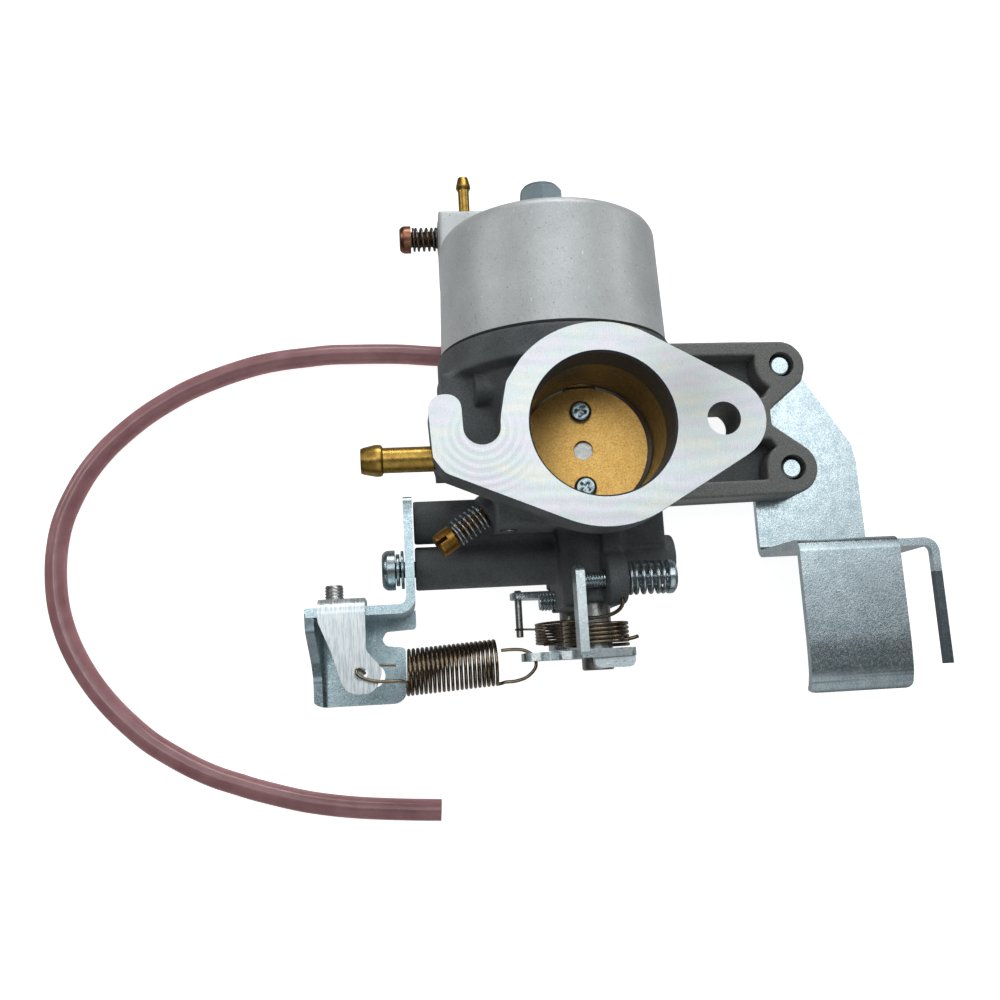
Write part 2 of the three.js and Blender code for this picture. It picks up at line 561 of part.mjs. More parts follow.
function addAnchor() {
  add('spring_anchor_bracket', anchorBracket(), 'zinc');
  const axis = [POSTS.lowerY, POSTS.z];
  const profile = [[0, -53.2], [2.6, -53.2], [5.2, -52], [5.2, -49.9], [2.3, -49.9], [2.3, -34], [0, -34]];
  const screw = turned(profile, 'x', axis, 18);
  const across = joined(
    block([-55, -52.3], [-31, -24.6], [38, 39]),
    block([-55, -52.3], [-28.3, -27.3], [35.3, 41.7]),
  );
  add('bracket_screw', cut(screw, across), 'zinc');
  add('bracket_lock_washer', sleeve(4.2, 2.7, 'x', axis, -49.6, -48.6, 16), 'zinc');
  add('bracket_washer', sleeve(5, 2.7, 'x', axis, -48.3, -47.5, 16), 'zinc');
  add('adjuster_lever', adjusterLever(), 'zinc');
  const stud = [ADJUSTER.x, ADJUSTER.z];
  const nut = rod(4.4, 'y', stud, -43.6, -40.1, 6);
  add('adjuster_bolt', joined(rod(2.4, 'y', stud, -41, -31.6, 14), nut), 'steel');
}

// ---- cable bracket behind the arm ---------------------------------------------------------
function cableBracket() {
  const { left, back, thickness, shelfY, frontZ, endY, legX, legZ } = CABLE;
  const top = shelfY;
  const low = shelfY - thickness;
  const plate = drawnOut(outline([
    [left, top - 1], [93, top - 1], [92.7, 3], [91.8, 8.8], [76, 34.4], [74, 36], [60, 36], [left, 30],
  ]), 'z', back, back + thickness);
  const shelf = block([left, 93], [low, top], [back, 20]);
  const tongue = block([62, 91], [low, top], [18, frontZ + thickness]);
  const front = drawnOut(pad(62, 91, endY, top, 1.5), 'z', frontZ, frontZ + thickness, 2);
  const strip = block([91, legX], [low, top], [back, 20]);
  const leg = block([legX - thickness, legX], [-59.5, top], [legZ, 20]);
  return cut(joined(plate, shelf, tongue, front, strip, leg),
    rod(3.4, 'z', ARM.holeTop, 0, 8, 14),
    rod(3.4, 'z', ARM.holeBottom, 0, 8, 14));
}

function addCableBracket() {
  add('cable_bracket', cableBracket(), 'zinc');
  [ARM.holeTop, ARM.holeBottom].forEach((centre, i) => {
    const screw = turned([[0, 0], [4, 0], [4.6, 0.8], [4.6, 2.5], [3, 2.5], [3, 16], [2.4, 16.6], [0, 16.6]],
      'z', centre, 16);
    add(`cable_bracket_screw_${i + 1}`, screw, 'zinc');
  });
}

add('carb_body', castBody(), 'cast');
addBowl();
addDrain();
addFloat();
addJets();
addNipples();
addHose();
addPilotScrew();
addPlug();
addThrottle();
addChoke();
addLeverSprings();
addStopScrews();
addAnchor();
addCableBracket();

export default unit;
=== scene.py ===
"""Looks of a side-draught carburetor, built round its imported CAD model.

Shape functions work in millimetres: x and y from the bore axis, z from the floor.
"""
import json
import math

import bmesh
import bpy
import numpy as np
import openvdb
from mathutils import Matrix, Vector


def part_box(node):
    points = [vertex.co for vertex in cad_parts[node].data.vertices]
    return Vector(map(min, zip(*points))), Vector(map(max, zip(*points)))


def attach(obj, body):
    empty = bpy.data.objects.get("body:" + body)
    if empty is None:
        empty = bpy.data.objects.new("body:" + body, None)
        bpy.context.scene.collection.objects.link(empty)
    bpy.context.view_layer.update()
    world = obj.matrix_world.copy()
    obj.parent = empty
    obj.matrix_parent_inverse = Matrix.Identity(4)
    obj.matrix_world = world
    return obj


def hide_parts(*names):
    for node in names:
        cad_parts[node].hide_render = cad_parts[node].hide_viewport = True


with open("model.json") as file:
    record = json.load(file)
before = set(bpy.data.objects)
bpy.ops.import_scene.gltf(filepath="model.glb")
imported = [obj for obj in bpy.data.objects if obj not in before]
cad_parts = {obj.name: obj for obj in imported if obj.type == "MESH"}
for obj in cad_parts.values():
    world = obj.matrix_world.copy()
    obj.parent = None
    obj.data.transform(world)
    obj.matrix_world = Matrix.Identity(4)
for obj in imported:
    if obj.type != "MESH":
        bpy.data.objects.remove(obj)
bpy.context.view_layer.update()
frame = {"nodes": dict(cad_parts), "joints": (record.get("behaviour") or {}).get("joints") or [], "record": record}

MM = 0.001
JOINT = {joint["name"]: joint for joint in frame["joints"]}
BORE = Vector(JOINT["throttle_turn"]["pos_m"])
TO_ROW = Matrix.Translation((BORE.x, BORE.y, 0)) @ Matrix.Scale(MM, 4)
BODY_OF = {node: body for body, nodes in frame["record"]["behaviour"]["bodies"].items() for node in nodes}
SLOT_OF = {part["node"]: part["material_slot"] for part in frame["record"]["subparts"]}


def at(x, y, z):
    """A point in the row frame, in metres."""
    return TO_ROW @ Vector((x, y, z))


def span(node):
    """Lowest and highest corner of a CAD node, in millimetres from the bore axis and the floor."""
    back = TO_ROW.inverted()
    low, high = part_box(node)
    return back @ low, back @ high


# ---- camera and hose ------------------------------------------------------------------
def add_camera():
    data = bpy.data.cameras.new("camera")
    data.sensor_width = 36
    data.lens = 36.9
    camera = bpy.data.objects.new("camera", data)
    right = Vector((0.9952, -0.0545, 0.0813))
    up = Vector((0.0393, 0.9833, 0.1780))
    turn = Matrix((right, up, right.cross(up))).transposed().to_4x4()
    camera.matrix_world = Matrix.Translation(at(-45.89, -57.64, 305.25)) @ turn
    bpy.context.scene.collection.objects.link(camera)
    bpy.context.scene.camera = camera


# Route of the vent hose from its nipple, lying on the floor: x and y from the bore axis.
HOSE_ROUTE = [
    (-20.3, 40.5), (-28, 41), (-37, 41.6), (-45.5, 42.4), (-53, 42.7), (-60.5, 42.8), (-67.7, 42.8),
    (-74.7, 42.2), (-81.7, 41.5), (-88.6, 40.3), (-95.5, 38.4), (-102.2, 36.1), (-109, 33.3),
    (-115.5, 29.8), (-121.9, 25.7), (-127.9, 20.9), (-133.6, 15.4), (-138.6, 9), (-142.5, 1.9),
    (-145.5, -5.7), (-146.9, -13.9), (-147, -22.2), (-146, -30.4), (-143.7, -38.3), (-140.3, -45.7),
    (-136.1, -52.5), (-131.3, -58.6), (-126, -64.1), (-120.5, -69), (-114.5, -73.1), (-108.5, -76.7),
    (-102.4, -79.7), (-96.1, -82.1), (-89.9, -84.3), (-77.5, -87.9), (-64.4, -90.3), (-50.2, -91.8),
    (-39.8, -92.6),
]
HOSE = {"radius": 3.0, "bore": 2.0, "z": 3.05}


def smooth_route(points, steps=6):
    """Points on a Catmull-Rom curve through the given ones."""
    points = [Vector(p) for p in points]
    ends = [2 * points[0] - points[1], *points, 2 * points[-1] - points[-2]]
    route = []
    for a, b, c, d in zip(ends, ends[1:], ends[2:], ends[3:]):
        for i in range(steps):
            t = i / steps
            route.append(0.5 * (2 * b + (c - a) * t + (2 * a - 5 * b + 4 * c - d) * t ** 2
                                + (3 * b - a - 3 * c + d) * t ** 3))
    return [*route, points[-1]]


# ---- sizes ----------------------------------------------------------------------------
FLANGE = {"top": 78.0, "under": 66.0, "lobe": 24.4, "bolt_x": 28.5, "nose": 10.1}
SLOT = {"x": -28.3, "radius": 4.4}
EAR = {"left": -40.7, "top": 7.8, "bottom": -10.6}
ARM = {"back": 5.4, "front": 18.0, "holes": [(67.2, 31.3), (67.6, -0.3)],
       "bosses": [((66.9, 31.1), 7.4), ((67.3, -0.4), 7.7)]}

# Axes that parts share: the two coordinates of each, in the order of AXES below.
BOWL_AXIS = (-5.0, 40.0)
THROTTLE_AXIS = (0.0, 48.0)
CHOKE_AXIS = (-1.5, 17.0)
IDLE_AXIS = (-34.5, 58.0)
FUEL_AXIS = (-5.5, 70.0)
VENT_AXIS = (40.5, 3.25)
DRAIN_AXIS = (70.1, 24.0)
DRAIN_NIPPLE_AXIS = (-26.0, 24.0)
TRAY_SCREW_AXIS = (-27.8, 38.5)
STUD_AXIS = (-37.2, 29.5)
PLUG_AXIS = (-21.6, 58.5)
ADJUSTER_AXIS = (-65.3, 43.0)


# ---- meshes ---------------------------------------------------------------------------
# For each axis of drawing out: which coordinates the section's u and v are, and then the axis itself.
AXES = {"x": (1, 2, 0), "y": (0, 2, 1), "z": (0, 1, 2)}


def lift(axis, u, v, along):
    point = [0.0, 0.0, 0.0]
    for index, value in zip(AXES[axis], (u, v, along)):
        point[index] = value
    return point


def stitch(mesh, a, b):
    """Faces between two rings of corners."""
    for i in range(len(a)):
        mesh.faces.new([a[i - 1], a[i], b[i], b[i - 1]])


def closed(mesh):
    bmesh.ops.recalc_face_normals(mesh, faces=mesh.faces)
    return mesh


def polar(centre, radius, angle):
    return centre[0] + radius * math.cos(angle), centre[1] + radius * math.sin(angle)


def spun(centre, u, v, angle):
    """The point u, v off a centre, turned about it."""
    c, s = math.cos(angle), math.sin(angle)
    return centre[0] + u * c - v * s, centre[1] + u * s + v * c


def arc(centre, radius, start, end, steps=12):
    """Points on an arc, with its angles in degrees."""
    return [polar(centre, radius, a) for a in np.radians(np.linspace(start, end, steps + 1))]


def hexagon(centre, radius, first):
    """Six corners, from the angle of the first in degrees."""
    return [polar(centre, radius, a) for a in np.radians(np.arange(first, first + 360, 60))]


def rectangle(u, v):
    return [(u[0], v[0]), (u[1], v[0]), (u[1], v[1]), (u[0], v[1])]


def rounded(points, radius, steps=5, ring=True):
    """The outline with arcs for corners. A third value in a point is that corner's own radius."""
    out = []
    for i, point in enumerate(points):
        here = Vector(point[:2])
        wish = point[2] if len(point) > 2 else radius
        a = Vector(points[i - 1][:2]) - here
        b = Vector(points[(i + 1) % len(points)][:2]) - here
        if wish <= 0 or (not ring and i in (0, len(points) - 1)) or a.angle(b) > math.radians(176):
            out.append(tuple(here))
            continue
        half = a.angle(b) / 2
        reach = min(wish / math.tan(half), 0.48 * a.length, 0.48 * b.length)
        radius_here = reach * math.tan(half)
        a.normalize()
        b.normalize()
        centre = here + (a + b).normalized() * (radius_here / math.sin(half))
        first = here + a * reach - centre
        last = here + b * reach - centre
        turn = first.angle(last)
        for k in range(steps + 1):
            t = k / steps
            between = (first * math.sin((1 - t) * turn) + last * math.sin(t * turn)) / math.sin(turn)
            out.append(tuple(centre + between))
    return out


def lathe(profile, axis, centre=(0, 0), steps=48, ring=False):
    """A profile of (radius, distance along the axis) turned about the axis through a centre."""
    mesh = bmesh.new()
    rings = []
    for radius, along in profile:
        count = 1 if radius == 0 else steps
        turn = 2 * math.pi / steps
        rings.append([mesh.verts.new(lift(axis, *polar(centre, radius, i * turn), along))
                      for i in range(count)])
    pairs = list(zip(rings, rings[1:]))
    if ring:
        pairs.append((rings[-1], rings[0]))
    for a, b in pairs:
        for i in range(steps):
            corners = [a[i % len(a)], a[(i + 1) % len(a)], b[(i + 1) % len(b)], b[i % len(b)]]
            mesh.faces.new(list(dict.fromkeys(corners)))
    return closed(mesh)


def rod(radius, axis, centre, low, high, edge=0.0, steps=48):
    profile = rounded([(0, low, 0), (radius, low), (radius, high), (0, high, 0)], edge, 3)
    return lathe(profile, axis, centre, steps)


def sleeve(outer, inner, axis, centre, low, high, edge=0.15, steps=48):
    profile = rounded(rectangle((inner, outer), (low, high)), edge, 2)
    return lathe(profile, axis, centre, steps, ring=True)


def prism(outline, axis, low, high):
    mesh = bmesh.new()
    ends = [[mesh.verts.new(lift(axis, u, v, along)) for u, v in outline] for along in (low, high)]
    for end in ends:
        mesh.faces.new(end)
    stitch(mesh, *ends)
    return closed(mesh)


def block(x, y, z):
    return prism(rectangle(x, y), "z", *z)


def bent_section(path, thickness, bend):
    """Closed outline of a sheet bent along a centreline."""
    line = [Vector(p) for p in rounded(path, bend, 8, ring=False)]
    sides = [[], []]
    for i, p in enumerate(line):
        run = (line[min(i + 1, len(line) - 1)] - line[max(i - 1, 0)]).normalized()
        out = Vector((-run.y, run.x)) * thickness / 2
        sides[0].append(tuple(p + out))
        sides[1].append(tuple(p - out))
    return sides[0] + sides[1][::-1]


def tube(path, radius, sides=10, bore=0.0):
    """A round bar, or a pipe, along a path."""
    path = [Vector(p) for p in path]
    mesh = bmesh.new()
    runs = [(b - a).normalized() for a, b in zip([path[0], *path[:-1]], [*path[1:], path[-1]])]
    normal = runs[0].orthogonal().normalized()
    rows = {radius: [], bore: []}
    for point, run in zip(path, runs):
        normal = (normal - run * normal.dot(run)).normalized()
        other = run.cross(normal)
        for size in {radius, bore} - {0.0}:
            turns = [2 * math.pi * i / sides for i in range(sides)]
            rows[size].append([mesh.verts.new(point + size * (normal * math.cos(t) + other * math.sin(t)))
                               for t in turns])
    for ring_rows in rows.values():
        for a, b in zip(ring_rows, ring_rows[1:]):
            stitch(mesh, a, b)
    for end in (0, -1):
        if bore:
            stitch(mesh, rows[radius][end], rows[bore][end])
        else:
            mesh.faces.new(rows[radius][end])
    return closed(mesh)


def coil_line(axis, centre, radius, low, high, turns, wire, dead=1.0, phase=0.0, hand=1):
    """Centreline of a coil whose end turns lie closed, each a wire's diameter from the next."""
    per_turn = 24
    dead = min(dead, turns / 2 - 0.05)
    open_turns = max(turns - 2 * dead, 0.01)
    pitch = (high - low - wire - 2 * dead * wire) / open_turns
    points = []
    for i in range(int(turns * per_turn) + 1):
        turn = i / per_turn
        shut = min(turn, dead) + max(0.0, turn - (turns - dead))
        opened = min(max(turn - dead, 0.0), open_turns)
        angle = hand * 2 * math.pi * turn + phase
        along = low + wire / 2 + shut * wire + opened * pitch
        points.append(Vector(lift(axis, *polar(centre, radius, angle), along)))
    return points


def thread(radius, axis, centre, low, high, pitch=0.8, depth=0.35, steps=28):
    """A rod whose skin is a real screw thread, with plain ends."""
    rows = int((high - low) / pitch * 6)
    mesh = bmesh.new()
    grid = []
    for j in range(rows + 1):
        along = low + (high - low) * j / rows
        fade = min(1.0, j / 4, (rows - j) / 4)
        ring = []
        for i in range(steps):
            angle = 2 * math.pi * i / steps
            wave = abs(2 * ((along / pitch - i / steps) % 1) - 1)
            size = radius - depth * wave if fade >= 1 else radius - depth * (1 - fade * (1 - wave))
            ring.append(mesh.verts.new(lift(axis, *polar(centre, size, angle), along)))
        grid.append(ring)
    for a, b in zip(grid, grid[1:]):
        stitch(mesh, a, b)
    mesh.faces.new(grid[0])
    mesh.faces.new(grid[-1])
    return closed(mesh)


def temporary(mesh, material_index=0):
    data = bpy.data.meshes.new("temporary")
    for face in mesh.faces:
        face.smooth = True
        face.material_index = max(face.material_index, material_index)
    mesh.to_mesh(data)
    mesh.free()
    for _ in range(3):
        data.materials.append(None)
    shape = bpy.data.objects.new("temporary", data)
    bpy.context.scene.collection.objects.link(shape)
    return shape


def worked(base, joins=(), cuts=(), keep=(), edge=0.2, steps=2, angle=30):
    """The base after its joins and cuts, with its edges rounded. A tool may be (mesh, material index)."""
    shapes = [temporary(base)]
    for operation, others in (("UNION", joins), ("INTERSECT", keep), ("DIFFERENCE", cuts)):
        for other in others:
            tool, index = other if isinstance(other, tuple) else (other, 0)
            shapes.append(temporary(tool, index))
            step = shapes[0].modifiers.new("work", "BOOLEAN")
            step.operation = operation
            step.object = shapes[-1]
            step.solver = "MANIFOLD"
    if edge:
        soften = shapes[0].modifiers.new("soften", "BEVEL")
        soften.width = edge
        soften.segments = steps
        soften.limit_method = "ANGLE"
        soften.angle_limit = math.radians(angle)
        soften.use_clamp_overlap = True
    result = bpy.data.meshes.new_from_object(shapes[0].evaluated_get(bpy.context.evaluated_depsgraph_get()))
    mesh = bmesh.new()
    mesh.from_mesh(result)
    bpy.data.meshes.remove(result)
    for shape in shapes:
        data = shape.data
        bpy.data.objects.remove(shape)
        bpy.data.meshes.remove(data)
    return mesh


def joined(*meshes):
    """One mesh of several closed bodies, left as they are."""
    whole = meshes[0]
    for other in meshes[1:]:
        data = bpy.data.meshes.new("temporary")
        other.to_mesh(data)
        other.free()
        whole.from_mesh(data)
        bpy.data.meshes.remove(data)
    return whole


def turned(mesh, matrix):
    bmesh.ops.transform(mesh, matrix=matrix, verts=mesh.verts)
    return mesh


def piece(node, mesh, looks=None, angle=38, name=None, replace=True, level=True):
    """A finished object that stands for a CAD node and rides on the node's body."""
    name = name or f"{node}_piece"
    turned(mesh, TO_ROW)
    data = bpy.data.meshes.new(name)
    for face in mesh.faces:
        face.smooth = True
    mesh.to_mesh(data)
    mesh.free()
    data.set_sharp_from_angle(angle=math.radians(angle))
    for look in looks or [LOOKS[SLOT_OF[node]]]:
        data.materials.append(look)
    shape = bpy.data.objects.new(name, data)
    bpy.context.scene.collection.objects.link(shape)
    if level:
        shape.modifiers.new("flat_faces", "WEIGHTED_NORMAL").keep_sharp = True
    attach(shape, BODY_OF[node])
    if replace:
        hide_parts(node)
    return shape


# ---- castings, from distance fields ----------------------------------------------------
def outline_distance(u, v, outline):
    """Signed distance from a closed outline, negative inside it."""
    nearest = np.float32(1e9)
    inside = np.zeros(np.broadcast(u, v).shape, bool)
    for (au, av), (bu, bv) in zip(outline, outline[1:] + outline[:1]):
        eu, ev = bu - au, bv - av
        wu, wv = u - au, v - av
        t = np.clip((wu * eu + wv * ev) / (eu * eu + ev * ev), 0, 1)
        nearest = np.minimum(nearest, (wu - eu * t) ** 2 + (wv - ev * t) ** 2)
        if ev:
            inside ^= ((av <= v) != (bv <= v)) & (u < eu * (v - av) / ev + au)
    return np.where(inside, -1, 1) * np.sqrt(nearest)


def drawn(flat, along, low, high, edge):
    """Distance field of a section drawn out from low to high, with its rims rounded."""
    side = flat + edge
    ends = np.maximum(low + edge - along, along - high + edge)
    return np.minimum(np.maximum(side, ends), 0) + np.hypot(np.maximum(side, 0), np.maximum(ends, 0)) - edge


def box_of(axis, us, vs, alongs):
    """Lowest and highest corner of a drawn section."""
    return [lift(axis, pick(us), pick(vs), pick(alongs)) for pick in (min, max)]


def square_round(centre, radius):
    """Span of a circle along each coordinate of its section."""
    return [(middle - radius, middle + radius) for middle in centre]


class Casting:
    """Shapes melted together with fillets, as in a die casting, on a grid of signed distances."""

    def __init__(self, low, high, voxel):
        self.low = low
        self.voxel = voxel
        self.far = 4.0
        self.ticks = [np.arange(a, b, voxel, dtype=np.float32) for a, b in zip(low, high)]
        self.field = np.full([len(t) for t in self.ticks], self.far, np.float32)

    def work(self, distance, low, high, fillet, remove=False):
        windows = []
        for ticks, a, b in zip(self.ticks, low, high):
            first, last = np.searchsorted(ticks, [a - self.far, b + self.far])
            windows.append(slice(first, last))
        x, y, z = (t[w] for t, w in zip(self.ticks, windows))
        d = distance(x[:, None, None], y[None, :, None], z[None, None, :]).astype(np.float32)
        there = self.field[tuple(windows)]
        sign = -1 if remove else 1
        blend = np.maximum(fillet - np.abs(sign * there - d), 0)
        self.field[tuple(windows)] = sign * (np.minimum(sign * there, d) - blend * blend / (4 * fillet))

    def section(self, flat, axis, spans, low, high, fillet, edge, remove=False):
        """Works in a flat distance field, drawn out along an axis."""
        iu, iv, along = AXES[axis]

        def distance(*p):
            return drawn(flat(p[iu], p[iv]), p[along], low, high, edge)

        self.work(distance, *box_of(axis, *spans, (low, high)), fillet, remove)

    def extruded(self, outline, axis, low, high, fillet=1.5, edge=0.5, remove=False):
        def flat(u, v):
            return outline_distance(u, v, outline)

        self.section(flat, axis, zip(*outline), low, high, fillet, edge, remove)

    def rod(self, radius, axis, centre, low, high, fillet=1.5, edge=0.5):
        def flat(u, v):
            return np.hypot(u - centre[0], v - centre[1]) - radius

        self.section(flat, axis, square_round(centre, radius), low, high, fillet, edge)

    def revolved(self, profile, axis, centre, fillet=1.5):
        iu, iv, along = AXES[axis]
        radii, ends = zip(*profile)
        # The profile's mirror image closes it across the axis, so that the axis is not an edge.
        whole = [*profile, *[(-r, t) for r, t in profile[::-1] if r > 0]]

        def distance(*p):
            radius = np.hypot(p[iu] - centre[0], p[iv] - centre[1])
            return outline_distance(radius, p[along] + 0 * radius, whole)

        self.work(distance, *box_of(axis, *square_round(centre, max(radii)), ends), fillet)

    def block(self, x, y, z, fillet=1.5, edge=0.8):
        self.extruded(rectangle(x, y), "z", *z, fillet, edge)

    def mesh(self):
        grid = openvdb.FloatGrid(self.far / self.voxel)
        grid.copyFromArray(self.field / self.voxel)
        points, triangles, quads = grid.convertToPolygons(isovalue=0.0, adaptivity=0.012)
        mesh = bmesh.new()
        corners = [mesh.verts.new(Vector(p) * self.voxel + Vector(self.low)) for p in points.tolist()]
        for polygon in [*triangles.tolist(), *quads.tolist()]:
            if len(set(polygon)) > 2:
                mesh.faces.new([corners[i] for i in dict.fromkeys(polygon)])
        bmesh.ops.recalc_face_normals(mesh, faces=mesh.faces)
        return mesh


# ---- materials ------------------------------------------------------------------------
def set_stops(band, stops):
    """Gives a colour band its stops of (place, colour or grey)."""
    while len(band.elements) < len(stops):
        band.elements.new(0.5)
    for element, (place, colour) in zip(band.elements, stops):
        element.position = place
        element.color = (*colour, 1) if isinstance(colour, tuple) else (colour, colour, colour, 1)


def add_node(tree, kind, inputs, **settings):
    """A node with its settings, whose inputs are each a value or another node's output."""
    node = tree.nodes.new("ShaderNode" + kind)
    for name, value in settings.items():
        setattr(node, name, value)
    for name, value in inputs.items():
        if isinstance(value, bpy.types.NodeSocket):
            tree.links.new(value, node.inputs[name])
        else:
            node.inputs[name].default_value = value
    return node


class Look:
    """A node material. Pattern sizes are in millimetres on the object."""

    def __init__(self, name, colour, metallic, roughness):
        self.material = bpy.data.materials.new(name)
        self.material.use_nodes = True
        self.tree = self.material.node_tree
        self.shader = self.tree.nodes["Principled BSDF"]
        self.shader.inputs["Base Color"].default_value = (*colour, 1)
        self.shader.inputs["Metallic"].default_value = metallic
        self.shader.inputs["Roughness"].default_value = roughness
        self.where = self.node("TexCoord", {}).outputs["Object"]
        self.surface = None

    def node(self, kind, inputs, **settings):
        return add_node(self.tree, kind, inputs, **settings)

    def spread(self, size, stretch=(1, 1, 1), centre=(0, 0, 0)):
        place = at(*centre) if any(centre) else (0, 0, 0)
        scale = [size * MM * s for s in stretch]
        inputs = {"Location": place, "Scale": scale, "Vector": self.where}
        return self.node("Mapping", inputs, vector_type="TEXTURE").outputs["Vector"]

    def noise(self, size, detail=2.0, stretch=(1, 1, 1), rough=0.5):
        inputs = {"Vector": self.spread(size, stretch), "Scale": 1, "Detail": detail, "Roughness": rough}
        return self.node("TexNoise", inputs).outputs["Fac"]

    def cells(self, size):
        """A random colour for each cell."""
        return self.node("TexVoronoi", {"Vector": self.spread(size), "Scale": 1}).outputs["Color"]

    def rings(self, pitch, centre, distortion):
        inputs = {"Vector": self.spread(pitch, centre=centre), "Scale": 0.314, "Distortion": distortion,
                  "Detail": 2, "Detail Scale": 0.4}
        return self.node("TexWave", inputs, wave_type="RINGS", rings_direction="Z").outputs["Fac"]

    def far_from(self, centre, reach):
        """Distance from a point, as a share of the reach."""
        inputs = {0: self.spread(reach, centre=centre)}
        return self.node("VectorMath", inputs, operation="LENGTH").outputs["Value"]

    def ramp(self, value, *stops):
        """A colour for each stop of (place, colour or grey)."""
        node = self.node("ValToRGB", {"Fac": value})
        set_stops(node.color_ramp, stops)
        return node.outputs["Color"]

    def mix(self, share, a, b, blend="MIX"):
        colours = [(*value, 1) if isinstance(value, tuple) else value for value in (a, b)]
        # Of the sockets that a Mix node has for each type, 6 and 7 take its colours and 2 gives the result.
        inputs = {0: share, 6: colours[0], 7: colours[1]}
        return self.node("Mix", inputs, data_type="RGBA", blend_type=blend).outputs[2]

    def painted_light_share(self):
        """Share of painted light: goes from 0 to 1 across the root of the arm, and is 0 near the floor, where it
        leaves painted shade.
        """
        parts = self.node("SeparateXYZ", {"Vector": self.where})
        shares = []
        for axis, low, high in (("X", at(24, 0, 0).x, at(31, 0, 0).x), ("Z", 9.5 * MM, 12.5 * MM)):
            inputs = {"Value": parts.outputs[axis], "From Min": low, "From Max": high}
            shares.append(self.node("MapRange", inputs).outputs["Result"])
        return self.node("Math", {0: shares[0], 1: shares[1]}, operation="MULTIPLY").outputs["Value"]

    def bump(self, height, depth):
        inputs = {"Distance": depth * MM, "Height": height}
        if self.surface:
            inputs["Normal"] = self.surface
        self.surface = self.node("Bump", inputs).outputs["Normal"]
        self.tree.links.new(self.surface, self.shader.inputs["Normal"])
        return self

    def colour(self, source):
        self.tree.links.new(source, self.shader.inputs["Base Color"])

    def roughness(self, value, low, high, end=0.7):
        """Roughness from low to high where the value goes from 0.3 to the end."""
        self.tree.links.new(self.ramp(value, (0.3, low), (end, high)), self.shader.inputs["Roughness"])


def cast_look():
    """Sand-textured aluminium, dark on the body, paler and warmer on the front face of the arm as painted light,
    and kept dark near the floor as painted shade.
    """
    look = Look("cast_body", (0.06, 0.064, 0.067), 0.2, 0.55)
    grain = look.noise(0.42, 4, rough=0.72)
    patches = look.noise(8, 3)
    dark = look.ramp(grain, (0.3, (0.056, 0.061, 0.064)), (0.72, (0.175, 0.184, 0.188)))
    dark = look.mix(0.35, dark, look.ramp(patches, (0.35, (0.066, 0.072, 0.075)),
                                          (0.7, (0.185, 0.195, 0.20))))
    # Painted light: a paler, warmer copy of the cast colour for the front face of the arm.
    pale = look.ramp(grain, (0.3, (0.10, 0.100, 0.093)), (0.72, (0.30, 0.300, 0.282)))
    look.colour(look.mix(look.painted_light_share(), dark, pale))
    look.roughness(grain, 0.66, 0.42, 0.75)
    look.bump(look.noise(3.5, 2), 0.10).bump(grain, 0.11)
    return look.material


def machined_look():
    """Face-milled aluminium: cutter arcs below the slot, fine scratches and a sheen of oil colours."""
    look = Look("machined_face", (0.84, 0.85, 0.85), 0.86, 0.25)
    near_slot = look.ramp(look.far_from((SLOT["x"], -7, FLANGE["top"]), 24), (0.3, 1.0), (0.55, 0.0))
    arcs = look.rings(1.9, (SLOT["x"], -1, FLANGE["top"]), 2.2)
    sweep = look.rings(3.4, (0, 160, FLANGE["top"]), 7)
    lines = look.noise(0.4, 4, (0.4, 10, 1), 0.65)
    sheen = look.ramp(look.noise(6, 3, (2.2, 0.8, 1)), (0.3, (0.72, 0.77, 0.80)),
                      (0.42, (0.84, 0.79, 0.84)), (0.52, (0.76, 0.82, 0.81)), (0.62, (0.86, 0.84, 0.77)),
                      (0.75, (0.80, 0.80, 0.84)))
    streaks = look.ramp(lines, (0.36, 0.80), (0.58, 1.0))
    stains = look.ramp(look.noise(1.5, 5, rough=0.8), (0.66, 1.0), (0.73, 0.4))
    # Painted shade: darker round the stretch between the bore and the bolt hole, lighter towards the tip.
    painted_shade = look.ramp(look.far_from((20, 6, FLANGE["top"]), 22), (0.15, (0.58, 0.575, 0.555)),
                      (0.85, (0.83, 0.83, 0.83)))
    cutter = look.mix(near_slot, look.ramp(sweep, (0.1, 0.965), (0.7, 1.0)),
                      look.ramp(arcs, (0.35, 0.88), (0.7, 1.0)))
    base = look.mix(1.0, look.mix(1.0, sheen, streaks, "MULTIPLY"), cutter, "MULTIPLY")
    look.colour(look.mix(1.0, look.mix(1.0, base, stains, "MULTIPLY"), painted_shade, "MULTIPLY"))
    look.roughness(lines, 0.2, 0.36)
    look.bump(lines, 0.012).bump(look.mix(near_slot, sweep, arcs), 0.010)
    return look.material


def blasted_look():
    """Bead-blasted aluminium with handling marks."""
    look = Look("blasted_bowl", (0.5, 0.51, 0.51), 0.5, 0.5)
    grain = look.noise(0.45, 4, rough=0.72)
    base = look.ramp(grain, (0.3, (0.53, 0.54, 0.54)), (0.7, (0.76, 0.77, 0.765)))
    base = look.mix(0.5, base, look.ramp(look.noise(12, 3), (0.35, (0.57, 0.58, 0.58)),
                                         (0.68, (0.76, 0.77, 0.76))))
    marks = []
    for size, stretch, pale in ((0.8, (0.4, 1.9, 1.6), 0.62), (0.9, (2.4, 0.4, 0.5), 0.62),
                                (0.9, (1.5, 2.6, 0.4), 1.35),
                                 (0.9, (0.5, 0.6, 2.4), 1.3), (0.6, (1, 1, 1), 0.42)):
        marks.append(look.ramp(look.noise(size, 3, stretch), (0.68, 1.0), (0.73, pale)))
    for mark in marks:
        base = look.mix(1.0, base, mark, "MULTIPLY")
    look.colour(base)
    look.roughness(grain, 0.58, 0.38, 0.72)
    look.bump(look.noise(4, 2), 0.05).bump(grain, 0.04).bump(marks[0], 0.03)
    return look.material


